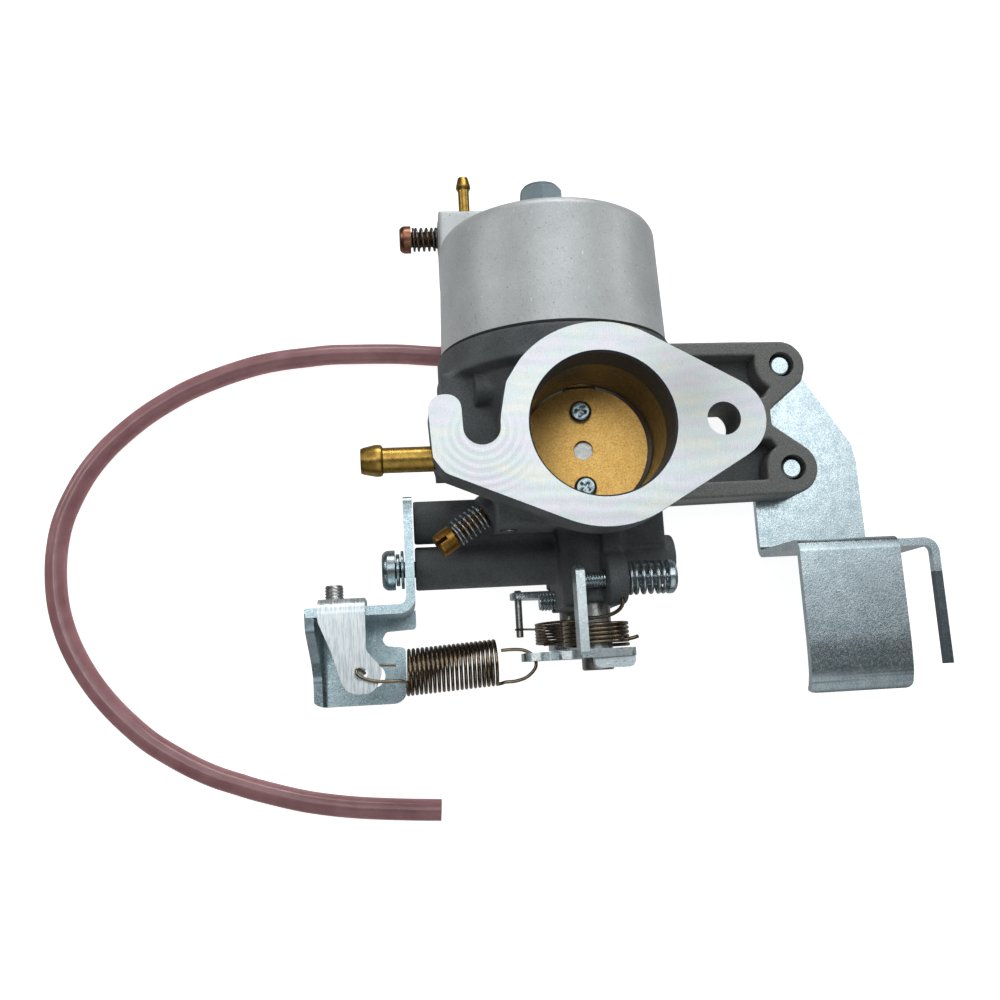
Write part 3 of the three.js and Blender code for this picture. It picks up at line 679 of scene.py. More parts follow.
def zinc_look(name, dark, pale, roughness=0.2):
    """Clear zinc plating on sheet steel: a speckle of small bright crystals."""
    look = Look(name, pale, 0.96, roughness)
    crystals = look.cells(0.3)
    haze = look.noise(4, 3)
    middle = tuple((a + b) / 2 for a, b in zip(dark, pale))
    speckle = look.ramp(crystals, (0.1, dark), (0.6, middle), (0.95, pale))
    look.colour(look.mix(0.4, speckle, look.ramp(haze, (0.3, dark), (0.7, pale))))
    look.roughness(look.noise(0.7, 4), roughness - 0.05, roughness + 0.1)
    look.bump(look.noise(0.5, 3, rough=0.65), 0.022).bump(crystals, 0.006)
    return look.material


def brushed_zinc_look():
    look = Look("brushed_zinc", (0.86, 0.9, 0.92), 0.9, 0.36)
    brushing = look.noise(0.3, 4, (1, 14, 14), 0.6)
    look.colour(look.ramp(brushing, (0.38, (0.58, 0.65, 0.68)), (0.6, (0.98, 1.0, 1.0))))
    look.roughness(brushing, 0.3, 0.46)
    look.bump(brushing, 0.03)
    return look.material


def turned_metal_look(name, colour, deep, roughness=0.28):
    """Lathe-turned metal with fine tool marks and a little tarnish."""
    look = Look(name, colour, 1.0, roughness)
    marks = look.noise(0.35, 4, rough=0.65)
    tarnish = look.noise(1.6, 4)
    look.colour(look.mix(look.ramp(tarnish, (0.35, 0.0), (0.75, 0.75)), colour, deep))
    look.roughness(marks, roughness - 0.07, roughness + 0.14)
    look.bump(marks, 0.012)
    return look.material


def gold_plate_look():
    look = Look("gold_plate", (0.95, 0.58, 0.18), 0.92, 0.36)
    grain = look.noise(0.42, 4, rough=0.8)
    wear = look.noise(3.0, 4)
    base = look.ramp(grain, (0.38, (0.55, 0.28, 0.06)), (0.56, (0.98, 0.61, 0.19)))
    look.colour(look.mix(0.35, base, look.ramp(wear, (0.3, (0.76, 0.40, 0.095)),
                                               (0.72, (0.98, 0.62, 0.21)))))
    look.roughness(grain, 0.46, 0.3)
    look.bump(grain, 0.03)
    return look.material


def rubber_look():
    look = Look("gasket_sheet", (0.012, 0.012, 0.013), 0.0, 0.7)
    grain = look.noise(0.3, 3)
    look.colour(look.ramp(grain, (0.3, 0.008), (0.7, 0.022)))
    look.bump(grain, 0.02)
    return look.material


def plastic_look():
    look = Look("float_plastic", (0.012, 0.012, 0.013), 0.0, 0.4)
    grain = look.noise(0.8, 3)
    look.colour(look.ramp(grain, (0.3, 0.009), (0.7, 0.02)))
    look.roughness(grain, 0.34, 0.5)
    look.bump(grain, 0.01)
    return look.material


def hose_look():
    look = Look("pink_vinyl", (0.60, 0.27, 0.30), 0.0, 0.16)
    look.shader.inputs["Transmission Weight"].default_value = 0.3
    cloud = look.noise(7, 3)
    look.colour(look.ramp(cloud, (0.3, (0.43, 0.195, 0.205)), (0.7, (0.57, 0.285, 0.295))))
    look.roughness(look.noise(2.5, 3), 0.12, 0.26)
    look.bump(look.noise(1.8, 2), 0.02)
    return look.material


def dark_edge_look():
    # Painted shade: a near-black finish for the walls of holes, standing in for their shadow.
    look = Look("shadowed_edge", (0.01, 0.01, 0.01), 0.4, 0.6)
    look.colour(look.ramp(look.noise(1, 3), (0.3, 0.006), (0.7, 0.02)))
    return look.material


def bore_shade_look():
    """Bored aluminium, with tool marks round the wall, coloured dark brown as painted shade and a painted
    reflection.
    """
    look = Look("bored_wall_painted_shade", (0.4, 0.37, 0.32), 0.9, 0.3)
    marks = look.noise(0.5, 3, (6, 6, 1))
    # Painted shade and painted reflection: dark brown colours for the wall inside the bore.
    look.colour(look.ramp(marks, (0.3, (0.12, 0.105, 0.085)), (0.7, (0.25, 0.22, 0.18))))
    look.roughness(marks, 0.22, 0.38)
    look.bump(marks, 0.012)
    return look.material


def mouth_look():
    """The darkened first stretch of the bore."""
    look = Look("bore_mouth", (0.05, 0.05, 0.047), 0.25, 0.5)
    look.colour(look.ramp(look.noise(0.8, 3), (0.3, (0.060, 0.064, 0.070)), (0.7, (0.088, 0.092, 0.098))))
    look.bump(look.noise(0.6, 3), 0.02)
    return look.material


ZINC = zinc_look("zinc_plate", (0.44, 0.54, 0.58), (0.88, 0.97, 1.0))
DARK_ZINC = zinc_look("zinc_screw", (0.30, 0.37, 0.40), (0.52, 0.60, 0.62), 0.2)
BRUSHED = brushed_zinc_look()
LOOKS = {
    "cast_body": cast_look(),
    "bowl": blasted_look(),
    "gasket": rubber_look(),
    "zinc_steel": ZINC,
    "bright_steel": turned_metal_look("bright_steel", (0.56, 0.55, 0.53), (0.30, 0.29, 0.27)),
    "spring_wire": turned_metal_look("spring_wire", (0.34, 0.26, 0.18), (0.10, 0.075, 0.06), 0.2),
    "brass": turned_metal_look("brass", (0.58, 0.36, 0.085), (0.27, 0.145, 0.03)),
    "valve_plate": gold_plate_look(),
    "copper": turned_metal_look("copper_plate", (0.42, 0.20, 0.12), (0.16, 0.07, 0.045), 0.3),
    "float": plastic_look(),
    "hose": hose_look(),
}
DARK_WIRE = turned_metal_look("dark_wire", (0.20, 0.20, 0.19), (0.05, 0.05, 0.05), 0.22)
BRIGHT_WIRE = turned_metal_look("zinc_wire", (0.62, 0.67, 0.69), (0.35, 0.40, 0.42), 0.22)
COPPERY = turned_metal_look("yellow_zinc", (0.52, 0.27, 0.06), (0.24, 0.11, 0.02), 0.3)
BRIGHT_ZINC = zinc_look("zinc_lever", (0.60, 0.70, 0.73), (0.96, 1.0, 1.0), 0.3)
BLUE_ZINC = zinc_look("zinc_bracket", (0.40, 0.53, 0.57), (0.76, 0.90, 0.95), 0.28)
# Painted shade: a darkened copy of the zinc plating, for the cable bracket's leg.
SHADED_ZINC = zinc_look("zinc_shaded", (0.11, 0.14, 0.15), (0.22, 0.26, 0.28), 0.3)
BLUED = turned_metal_look("blued_zinc", (0.30, 0.37, 0.40), (0.24, 0.31, 0.34), 0.42)
MOUTH = mouth_look()
MACHINED = machined_look()
BORED = bore_shade_look()
DARK = dark_edge_look()


# ---- body casting -----------------------------------------------------------------------

def flange_outline():
    lean = math.degrees(math.acos((FLANGE["lobe"] - FLANGE["nose"]) / FLANGE["bolt_x"]))
    x, r = SLOT["x"], SLOT["radius"]
    corner = rounded([(x + r, 2, 0), (-22.2, 10.4, 4), (-18.96, 15.36, 0)], 0, 6, ring=False)
    lobe = arc((0, 0), FLANGE["lobe"], 141, lean, 20)
    nose = arc((FLANGE["bolt_x"], 0), FLANGE["nose"], lean, -lean, 16)
    foot = arc((0, 0), FLANGE["lobe"], -lean, -112.5, 14)
    ear = rounded([foot[-1] + (0,), (-37.2, EAR["bottom"], 3.4), (EAR["left"] + 0.9, -7, 2),
                   (EAR["left"], EAR["top"], 3.6), (x - r - 0.2, EAR["top"], 3.4), (x - r, 1, 0)], 0, 6,
                   ring=False)
    slot = arc((x, 0), r, 180, 360, 14)
    return corner + lobe[1:] + nose + foot[1:] + ear[1:] + slot[1:-1]


def arm_outline():
    upper, lower = ARM["bosses"]
    foot = arc(*lower, -89, 49, 16)
    head = arc(*upper, -14, 91, 12)
    notch = rounded([foot[-1] + (0,), (62.5, 12.8, 1.6), (62.5, 17.5, 1.6), (72.9, 25.8, 2.5),
                     head[0] + (0,)], 0, 6, ring=False)
    return [(14, -8.9)] + foot + notch[1:-1] + head + [(20.5, 39.0), (20.5, 22), (14, 22)]


def arm_pockets():
    (upper, reach), (lower, spread) = ARM["bosses"]
    high = arc(upper, reach + 0.5, 239, 172, 10)
    low = arc(lower, spread, 180, 122, 10)
    return ([(36, 21.4), (60.7, 21.3)] + high + [(59.2, 34.3), (36, 34.4)],
            [(36, -3.8), (59.5, -3.6)] + low + [(61.4, 8.6), (36, 7.6)])


# Order of the body's looks, which its cuts name.
SKIN, MILLED, BORED_WALL, MOUTH_WALL = range(4)


def body_mesh():
    body = Casting((-48.5, -43, -2), (79, 62, 81), 0.4)
    top = FLANGE["top"] + 1.6
    body.rod(21.5, "z", (0, 0), 2, FLANGE["under"] + 2)
    body.extruded(rounded(rectangle((-23, 23), (-26, 22)), 7), "z", -1.2, 8, 2.5)
    bowl_seat = [(0, -4), (18, -4), (26, 11.5), (28.4, 18.4), (31.5, 19.6), (31.5, 27.1), (0, 27.1)]
    body.revolved(bowl_seat, "y", BOWL_AXIS, 1.5)
    body.extruded(arm_outline(), "z", ARM["back"], ARM["front"], 2.0, 0.45)
    body.block((-36.4, -10), (-3, 20), (30, 55.5), 2.0, 1.0)
    body.rod(4.3, "x", (15, 55.5), -28, -17, 0.5, 0.4)
    body.block((-39, -12), (-9.8, -4.9), (61, FLANGE["under"] + 1), 1.5)
    body.block((-7.6, 7.6), (-40, -15), (23, 49), 1.8, 1.0)
    body.rod(7.2, "y", THROTTLE_AXIS, -39.5, -15, 1.6, 0.5)
    body.rod(6.2, "y", CHOKE_AXIS, -33, -15, 1.6)
    for y in (-15.6, -27.8):
        body.rod(5.6, "x", (y, 38.5), -44.6, 0, 1.6, 0.4)
    body.block((-36.6, 0), (-27.8, -15.6), (33.5, 41), 1.6)
    body.rod(6, "x", (-27.8, 40), -6, 23, 1.8, 0.7)
    body.block((6, 19.5), (-26, -8), (34, 50), 2.2, 1.2)
    body.rod(6.2, "x", IDLE_AXIS, 1.4, 6.3, 0.9, 0.5)
    body.block((1.4, 6.3), (-37.5, -14), (47, 58), 1.4, 0.6)
    body.rod(4.6, "x", (-16, 56), -20, -14, 1.2)
    body.block((-25, -10), (-21.5, -10), (52, FLANGE["under"] + 1), 1.6, 0.7)
    body.work(pilot_boss_distance, (-34, -30, 48), (-10, -8, 61), 1.2)
    body.block((-14, -4), (15, 45.5), (-1, 6.2), 1.2)
    body.rod(6, "y", BOWL_AXIS, 25, 58.4, 1)
    body.rod(3.2, "y", (4, 40), 25, 38, 0.8)
    for x in ((-12.5, -10.5), (0.5, 2.5)):
        body.block(x, (25, 36), (60.5, 65.5), 0.6, 0.3)
    body.extruded(flange_outline(), "z", FLANGE["under"], top, 1.6, 0.5)
    for pocket in arm_pockets():
        body.extruded(pocket, "z", ARM["front"] - 7.6, ARM["front"] + 2, 0.7, 0.5, remove=True)
    window = rounded(rectangle((41, 54), (9.8, 18.6)), 3)
    body.extruded(window, "z", 3, ARM["front"] + 2, 0.7, 0.2, remove=True)
    mesh = body.mesh()
    bore = [(0, -3), (15.7, -3), (15.7, 25), (13.2, 30), (13.2, 33), (17, 40), (17, FLANGE["top"] - 0.8),
            (17.6, 79), (0, 79)]
    mouth = [(0, 68.6), (17.03, 68.6), (17.03, 77.3), (17.5, 77.8), (17.5, 80), (0, 80)]
    cuts = [
        (block((-70, 90), (-70, 80), (FLANGE["top"], 90)), MILLED),
        (block((-70, 90), (-70, 80), (-9, 0)), MILLED),
        (lathe(bore, "z", (0, 0), 128), BORED_WALL),
        (lathe(mouth, "z", (0, 0), 128), MOUTH_WALL),
        (rod(4, "z", (FLANGE["bolt_x"], 0), 60, 82), SKIN),
        (rod(4.3, "y", THROTTLE_AXIS, -60, 21.5), BORED_WALL),
        (rod(3.3, "y", CHOKE_AXIS, -60, 18.5), BORED_WALL),
        (rod(2.5, "x", FUEL_AXIS, -45, -34, steps=24), SKIN),
        (rod(3.1, "x", FUEL_AXIS, -45, -39.4, steps=32), SKIN),
        (rod(2.3, "x", IDLE_AXIS, 0, 8, steps=24), SKIN),
        (rod(2.6, "x", TRAY_SCREW_AXIS, -46, -33, steps=24), SKIN),
        (rod(2.8, "x", STUD_AXIS, -9, 9, steps=24), SKIN),
        (rod(1.6, "x", VENT_AXIS, -16, -8, steps=16), SKIN),
        (rod(2.2, "y", PLUG_AXIS, -24, -16.5, steps=24), SKIN),
        (turned(rod(2.3, "x", (0, 0), -2, 11, steps=24), TO_PILOT), SKIN),
        *[(rod(3.8, "z", hole, 0, 22), SKIN) for hole in ARM["holes"]],
    ]
    return worked(mesh, cuts=cuts, edge=0)


# ---- pilot screw, whose axis lies across the corner below the flange ------------------------
PILOT_FOOT = Vector((-27.2, -16.8, 54.5))
PILOT_RUN = Vector(JOINT["pilot_turn"]["axis"])
# From a shape along X, whose screw head points to -X, to its place.
TO_PILOT = Matrix.Translation(PILOT_FOOT) @ Matrix.Rotation(math.atan2(PILOT_RUN.y, PILOT_RUN.x), 4, "Z")


def pilot_boss_distance(x, y, z):
    u, v, w = x - PILOT_FOOT.x, y - PILOT_FOOT.y, z - PILOT_FOOT.z
    along = u * PILOT_RUN.x + v * PILOT_RUN.y
    side = u * PILOT_RUN.y - v * PILOT_RUN.x
    return drawn(np.hypot(side, w) - 4.6, along, 0.2, 16, 0.5)


def screw_head(axis, centre, face, inward, radius, height, drive="cross", crown=0.35, recess_turn=0.3):
    """A pan head from its outer face inward (1 or -1) along the axis, with a cross or a slot in it."""
    rim = face + inward * height
    shoulder = face + inward * height * crown
    profile = rounded([(0, face, 0), (radius * 0.82, face), (radius, shoulder), (radius, rim, 0.08),
                       (0, rim, 0)],
                      height * 0.4, 4)
    head = lathe(profile, axis, centre, 40)
    depth = inward * height * 0.62
    if drive == "cross":
        tool = cross_recess(radius * 0.62, axis, centre, face, face + depth, recess_turn)
    else:
        low, high = sorted((face - inward * 0.5, face + depth))
        half = radius * 0.16
        slot = rectangle((-2 * radius, 2 * radius), (-half, half))
        tool = prism([spun(centre, u, v, recess_turn) for u, v in slot], axis, low, high)
    return worked(head, cuts=[tool], edge=0.08, angle=40)


def cross_recess(radius, axis, centre, face, floor, turn):
    """A cross-shaped tool that narrows towards its floor."""
    half = radius * 0.24
    outline = []
    for quarter in range(4):
        for u, v in ((radius, -half), (radius, half), (half, half)):
            outline.append(spun(centre, u, v, quarter * math.pi / 2 + turn))
    outside = face + (0.5 if face > floor else -0.5)
    mesh = prism(outline, axis, *sorted((floor, outside)))
    middle = Vector(lift(axis, *centre, 0))
    index = AXES[axis][2]
    for vertex in mesh.verts:
        if abs(vertex.co[index] - floor) < 1e-4:
            middle[index] = vertex.co[index]
            vertex.co = middle.lerp(vertex.co, 0.55)
    return mesh


# ---- small turned parts -------------------------------------------------------------------
def add_wire(node, points, wire, name=None, sides=12, looks=None, replace=True):
    return piece(node, tube(points, wire / 2, sides), looks, angle=60, name=name, replace=replace,
                 level=False)


def add_hose():
    route = smooth_route([(x, y, HOSE["z"]) for x, y in HOSE_ROUTE], 5)
    hose = piece("vent_hose", tube(route, HOSE["radius"], 32, HOSE["bore"]), angle=50, level=False)


def add_bowl():
    bowl = Casting((-43, 25, 5), (33, 78, 77), 0.4)
    bowl.revolved([(0, 26), (30.5, 26), (29.5, 59.2), (28.8, 60.5), (27.6, 61.2), (14.5, 63.4),
                   (10.2, 65.4), (9.0, 67.6), (8.3, 68.3), (0, 68.3)], "y", BOWL_AXIS, 1.5)
    bowl.block((-34, -21), (57, 75.6), (16, 31.5), 1.6, 1.0)
    bowl.rod(2.7, "y", DRAIN_NIPPLE_AXIS, 72, 77.3, 2.5, 1.0)
    bowl.block((-23, -6), (57, 68), (21, 31), 2.6, 2.0)
    bowl.rod(4.6, "x", DRAIN_AXIS, -34, -22, 1.2, 0.4)
    bowl.rod(9.5, "y", (8, 50), 52, 63.5, 4.0, 2.5)
    hollow = lathe([(0, 20), (28.5, 20), (28.5, 28.4), (27.6, 56), (24.6, 58.5), (0, 58.5)], "y", BOWL_AXIS,
                   96)
    skirt = sleeve(50, 27, "y", BOWL_AXIS, 20, 28.1, 0, 96)
    # Cuts with material index 1 give their hole walls the painted shade of the shadowed_edge look.
    cuts = [(hollow, 0), (skirt, 0), (rod(3.4, "y", BOWL_AXIS, 50, 80), 1),
            (rod(3.1, "x", DRAIN_AXIS, -38, -22), 1),
            (rod(1.9, "y", DRAIN_NIPPLE_AXIS, 71, 78, steps=24), 1)]
    piece("float_bowl", worked(bowl.mesh(), cuts=cuts, edge=0), [LOOKS["bowl"], DARK], angle=45)
    piece("bowl_gasket", sleeve(31, 28.6, "y", BOWL_AXIS, 27.1, 28.1, 0.3, 96))
    middle = (BOWL_AXIS[0] - 0.6, BOWL_AXIS[1])
    crown = lathe([(0, 49), (6.7, 49), (6.7, 74.9), (5.0, 77.2), (0, 77.2)], "y", middle, 64)
    dimple = rod(3.2, "y", BOWL_AXIS, 76.6, 78)
    head = worked(prism(hexagon(middle, 6.4, 32), "y", 70.3, 77.2), keep=[crown], cuts=[dimple], edge=0.15)
    piece("bowl_bolt", joined(head, thread(3.0, "y", BOWL_AXIS, 49, 70.6)), [BLUED])
    piece("bowl_bolt_washer", sleeve(7.2, 3.4, "y", BOWL_AXIS, 68.6, 70, 0.3))


def add_nipples():
    drain = [(0.7, 72.6), (1.6, 72.6), (1.6, 84.6), (1.75, 85.2), (2.15, 85.9), (2.1, 86.6), (1.5, 89),
             (0.7, 89)]
    piece("drain_nipple", lathe(drain, "y", DRAIN_NIPPLE_AXIS, 40, ring=True), angle=30)
    fuel = [(1.6, -56.4), (2.9, -56.4), (3.2, -55.6), (3.75, -53), (3.75, -51.9), (3.55, -51.5),
            (3.0, -51.2), (3.0, -50.4),
            (3.0, -39.6), (2.2, -39.5), (2.2, -35), (1.6, -35)]
    piece("fuel_inlet_nipple", lathe(fuel, "x", FUEL_AXIS, 48, ring=True), angle=30)
    vent = [(0.7, -20), (1.1, -20), (1.3, -19.6), (1.3, -9), (0.7, -9)]
    piece("vent_nipple", lathe(vent, "x", VENT_AXIS, 32, ring=True), angle=30)


def add_drain_screw():
    head = screw_head("x", DRAIN_AXIS, -45.3, 1, 3.9, 3.3)
    piece("drain_screw", joined(head, thread(2.4, "x", DRAIN_AXIS, -42.2, -25.5, 0.7, 0.3)))
    line = coil_line("x", DRAIN_AXIS, 3.12, -41.7, -34.1, 5.4, 0.7, 0.8, 0.5)
    add_wire("drain_spring", line, 0.7, looks=[DARK_WIRE])


def add_pilot_screw():
    head = screw_head("x", (0, 0), -14, 1, 3.1, 4.8, "slot", 0.12, 1.4)
    tip = lathe([(0, 10.5), (0.4, 10.4), (1.7, 5.9), (0, 5.9)], "x", (0, 0), 24)
    screw = joined(head, thread(2.0, "x", (0, 0), -9.4, 6, 0.6, 0.25), tip)
    piece("pilot_screw", turned(screw, TO_PILOT), [COPPERY], angle=30)
    line = coil_line("x", (0, 0), 3.1, -8.9, -0.2, 6.6, 0.75, 0.9, 1.0)
    add_wire("pilot_screw_spring", [TO_PILOT @ p for p in line], 0.75, looks=[BRIGHT_WIRE])
    plug = worked(rod(1.9, "y", PLUG_AXIS, -21.9, -17, 0.25, 32),
                  cuts=[block((-24, -19), (-22.6, -21.0), (58.15, 58.85))], edge=0.08)
    piece("passage_plug_screw", plug)


# ---- throttle -------------------------------------------------------------------------------
THROTTLE_LEAN = -10.0
CHOKE_LEAN = -90.0


def leaned(mesh, axis, degrees):
    """Moves a shape drawn about Y onto a shaft that runs along Y, and turns it about it."""
    shaft = Matrix.Translation(lift("y", *axis, 0))
    return turned(mesh, shaft @ Matrix.Rotation(math.radians(degrees), 4, "Y"))


def on_throttle(mesh):
    return leaned(mesh, THROTTLE_AXIS, THROTTLE_LEAN)


def on_choke(mesh):
    return leaned(mesh, CHOKE_AXIS, CHOKE_LEAN)


def add_throttle():
    flat = block((-6, 6), (-16.8, 16.8), (-0.3, 6))
    shaft = worked(rod(4, "y", (0, 0), -56.2, 21, 0.5, 64), cuts=[flat], edge=0.12)
    piece("throttle_shaft", on_throttle(shaft))
    plate = lathe([(0, 0), (16.55, 0), (16.55, 1.2), (0, 1.2)], "z", (0, 0), 128)
    piece("throttle_valve", on_throttle(worked(plate, cuts=[rod(2.5, "z", (0, 0), -1, 3)], edge=0.15)))
    for number, y in ((1, -10), (2, 10)):
        head = screw_head("z", (0, y), 3.2, -1, 2.9, 1.9, recess_turn=0.35 + 0.5 * number)
        stem = rod(1.4, "z", (0, y), -2.6, 1.4)
        piece(f"throttle_valve_screw_{number}", on_throttle(joined(head, stem)), [DARK_ZINC])
    outline = rounded([(-19, 44.5, 1.6), (-13, 44, 2), (-4, 40.5, 2), (4, 40.5, 2), (7.8, 45, 2),
                       (7.8, 58, 1), (6.8, 60, 1), (-6.4, 62.2, 0.4), (-6.4, 54.8, 1.6), (-10.2, 54, 1.5),
                       (-12.4, 51, 0.8), (-14.6, 53.6, 1.4), (-19, 52.6, 2.4)], 1, 5)
    lever = prism(outline, "y", -53.2, -51.2)
    lip = prism(rounded([(-2.6, -52.4, 0), (7.4, -52.4, 0), (7.4, -55.8, 2.6), (-2.6, -55.8, 2.8)], 0, 6),
                "z", 56.4, 58.8)
    tab = prism(rounded([(-53.2, 56.2, 0), (-31, 56.2, 1.5), (-31, 62.2, 1.8), (-53.2, 62.2, 1.4)], 0, 5),
                "x", -6.4, -4.2)
    hole = rod(1.2, "y", (-15.6, 48), -56, -50, steps=24)
    lever = worked(lever, joins=[lip, tab], cuts=[hole], edge=0.45, steps=3)
    piece("throttle_lever", lever, [BRIGHT_ZINC])
    coil = coil_line("y", THROTTLE_AXIS, 7.9, -50.6, -43.8, 5.6, 0.95, 0.2, 0.1, -1)
    over = smooth_route([(-3.2, -43.6, 55.6), (0.6, -43.5, 57.2), (3.4, -42.6, 58.8), (4.6, -41.3, 60.4),
                  (4.7, -40.0, 61.4), (4.5, -38.9, 61.7)])
    stub = smooth_route([(5.8, -49.2, 53.2), (8.4, -48.8, 51.6), (10.0, -48.4, 50.8)])
    add_wire("throttle_return_spring", coil, 0.95)
    add_wire("throttle_return_spring", over, 0.95, name="throttle_spring_hook", replace=False)
    add_wire("throttle_return_spring", stub, 0.95, name="throttle_spring_end", replace=False)


def add_idle_stop():
    profile = rounded([(0, 18.8, 0), (3.3, 18.8), (4.2, 18.0), (4.2, 16.6), (0, 16.6, 0)], 0.3, 3)
    slot = block((17.5, 20), (-40, -29), (57.5, 58.5))
    head = worked(lathe(profile, "x", IDLE_AXIS, 48), cuts=[slot], edge=0.08, angle=40)
    piece("idle_stop_screw", joined(head, thread(2.0, "x", IDLE_AXIS, -3.8, 16.8, 0.7, 0.28)))
    line = coil_line("x", IDLE_AXIS, 3.7, 6.6, 16.3, 5.6, 1.0, 0.9, 0.4)
    add_wire("idle_stop_spring", line, 1.0, looks=[BRIGHT_WIRE])


def add_choke():
    flat = block((-4, 4), (-15.4, 15.4), (-0.2, 4))
    shaft = worked(rod(3, "y", (0, 0), -51.5, 18, 0.4, 48), cuts=[flat], edge=0.1)
    piece("choke_shaft", on_choke(shaft))
    piece("choke_valve", on_choke(worked(rod(15.15, "z", (-1.55, 0), 0, 1, 0, 96), edge=0.12)))
    for number in (1, 2):
        low, high = span(f"choke_valve_screw_{number}")
        middle = (low + high) / 2
        axis = (middle.y, middle.z)
        radius = (high.y - low.y) / 2
        head = screw_head("x", axis, low.x, 1, radius, min(1.5, (high.x - low.x) * 0.45))
        piece(f"choke_valve_screw_{number}", joined(head, rod(radius * 0.5, "x", axis, low.x + 1, high.x)))
    outline = rounded([(-18.6, 18), (-18, 22), (-14.5, 22.6), (-3, 22.4), (3, 19.5), (3, 14.5), (-1.5, 12),
                       (-6, 13.5), (-17, 17)], 1.6, 5)
    piece("choke_lever", worked(prism(outline, "y", -35.6, -33.6), edge=0.3), [ZINC])
    piece("choke_link_pin", rod(1, "y", (-16.3, 19.7), -46, -33, 0.25, 24))
    piece("choke_retainer", sleeve(6.6, 3.3, "y", CHOKE_AXIS, -50.2, -48.2, 0.4))
    coil = coil_line("y", CHOKE_AXIS, 9.9, -48.8, -42.0, 7.3, 0.75, 1, 2.6, -1)
    add_wire("choke_return_spring", coil, 0.75)
    hook = smooth_route([(-9.6, -44.4, 22.6), (-12.4, -44.1, 22.2), (-15.4, -43.9, 21.6),
                         (-17.1, -43.8, 20.6),
                  (-17.4, -43.8, 19.4)])
    add_wire("choke_return_spring", hook, 0.6, name="choke_spring_hook", replace=False)
    piece("housing_stud", thread(2.5, "x", STUD_AXIS, -11.6, 7, 0.9, 0.38), [ZINC])


# ---- governor linkage ------------------------------------------------------------------------
def add_governor_spring():
    wire, radius, y, z = 0.85, 5.4, -53.6, 48.0
    coil = coil_line("x", (y, z), radius, -48.1, -25.2, 20.175, wire, 0.6, math.radians(117))
    coil = [Vector((p.x, p.y + 0.06 * (p.x + 36.6), p.z)) for p in coil]
    hook = smooth_route([(-58.0, -53.9, 49.0), (-58.8, -53.2, 50.8), (-59.8, -53.0, 52.6),
                         (-59.4, -54.3, 53.6),
                  (-57.2, -55.5, 53.8), (-54.4, -56.1, 53.6), (-51.4, -56.2, 53.4), (-49.4, -56.2, 53.1)])
    loop = smooth_route([(-24.6, -58.2, 47.7), (-23.4, -57.9, 48), (-21.0, -57.8, 48), (-18.2, -57.0, 48),
                  (-16.1, -55.2, 48), (-15.6, -53.4, 48), (-16.4, -51.6, 48), (-18.6, -50.3, 48),
                  (-21.4, -50.0, 48), (-24.2, -50.1, 48)])
    add_wire("governor_spring", hook + coil + loop, wire)
    end = [Vector((-55.5, -52.2, 49.6)), Vector((-53, -52.2, 49.9)), Vector((-50.3, -52.4, 50))]
    add_wire("governor_spring", end, wire * 0.8, name="governor_spring_end", replace=False)


def add_anchor_bracket():
    bend = bent_section([(-46.05, -10.4), (-46.05, -38.65), (-72, -38.65)], 2.3, 3.0)
    front = rounded([(-39.8, 29.5), (-10.4, 29.5, 3), (-10.4, 50, 1.4), (-39.8, 50, 3)], 3, 6)
    shape = worked(prism(front, "x", -50, -40), joins=[block((-80, -44), (-45, -36), (26, 50))], edge=0)
    strip = worked(prism(bend, "z", 26, 50), keep=[shape], edge=0)
    outline = rounded([(-74, -37.7, 0), (-44.9, -37.7, 0), (-44.9, -42.6, 1), (-53, -43, 1.2),
                       (-54.2, -45, 1), (-53, -46.8, 1.2), (-48, -47.4, 1.2), (-48, -62, 3.5),
                       (-74, -62, 5)], 0, 6)
    side = rounded([(-37.7, 20, 0), (-37.7, 50, 1), (-43, 48.6, 3), (-50.5, 34.5, 5), (-54.5, 29.8, 3),
                    (-64, 29.3, 0), (-64, 20, 0)], 0, 6)
    tray = prism(bent_section([(-71.2, 50), (-71.2, 27.15), (-44.9, 27.15)], 2.3, 2.7), "y", -62, -37.6)
    tray = worked(tray, keep=[prism(outline, "z", 20, 52), prism(side, "x", -80, -40)], edge=0)
    cuts = [rod(2.9, "z", (-56.5, -54.5), 24, 30), rod(2.8, "x", TRAY_SCREW_AXIS, -50, -40)]
    piece("spring_anchor_bracket", worked(strip, joins=[tray], cuts=cuts, edge=0.4, steps=3), [BLUE_ZINC])
    head = screw_head("x", TRAY_SCREW_AXIS, -53.2, 1, 5.2, 3.4, recess_turn=0.6)
    piece("bracket_screw", joined(head, thread(2.3, "x", TRAY_SCREW_AXIS, -50.2, -34)), [DARK_ZINC])
    ring = sleeve(4.2, 2.7, "x", TRAY_SCREW_AXIS, -49.6, -48.6, 0.2)
    gap = block((-51, -47), (-32.2, -27.8), (38.1, 38.9))
    piece("bracket_lock_washer", worked(ring, cuts=[gap], edge=0.08), [DARK_ZINC])
    piece("bracket_washer", sleeve(5, 2.7, "x", TRAY_SCREW_AXIS, -48.3, -47.5, 0.2), [DARK_ZINC])


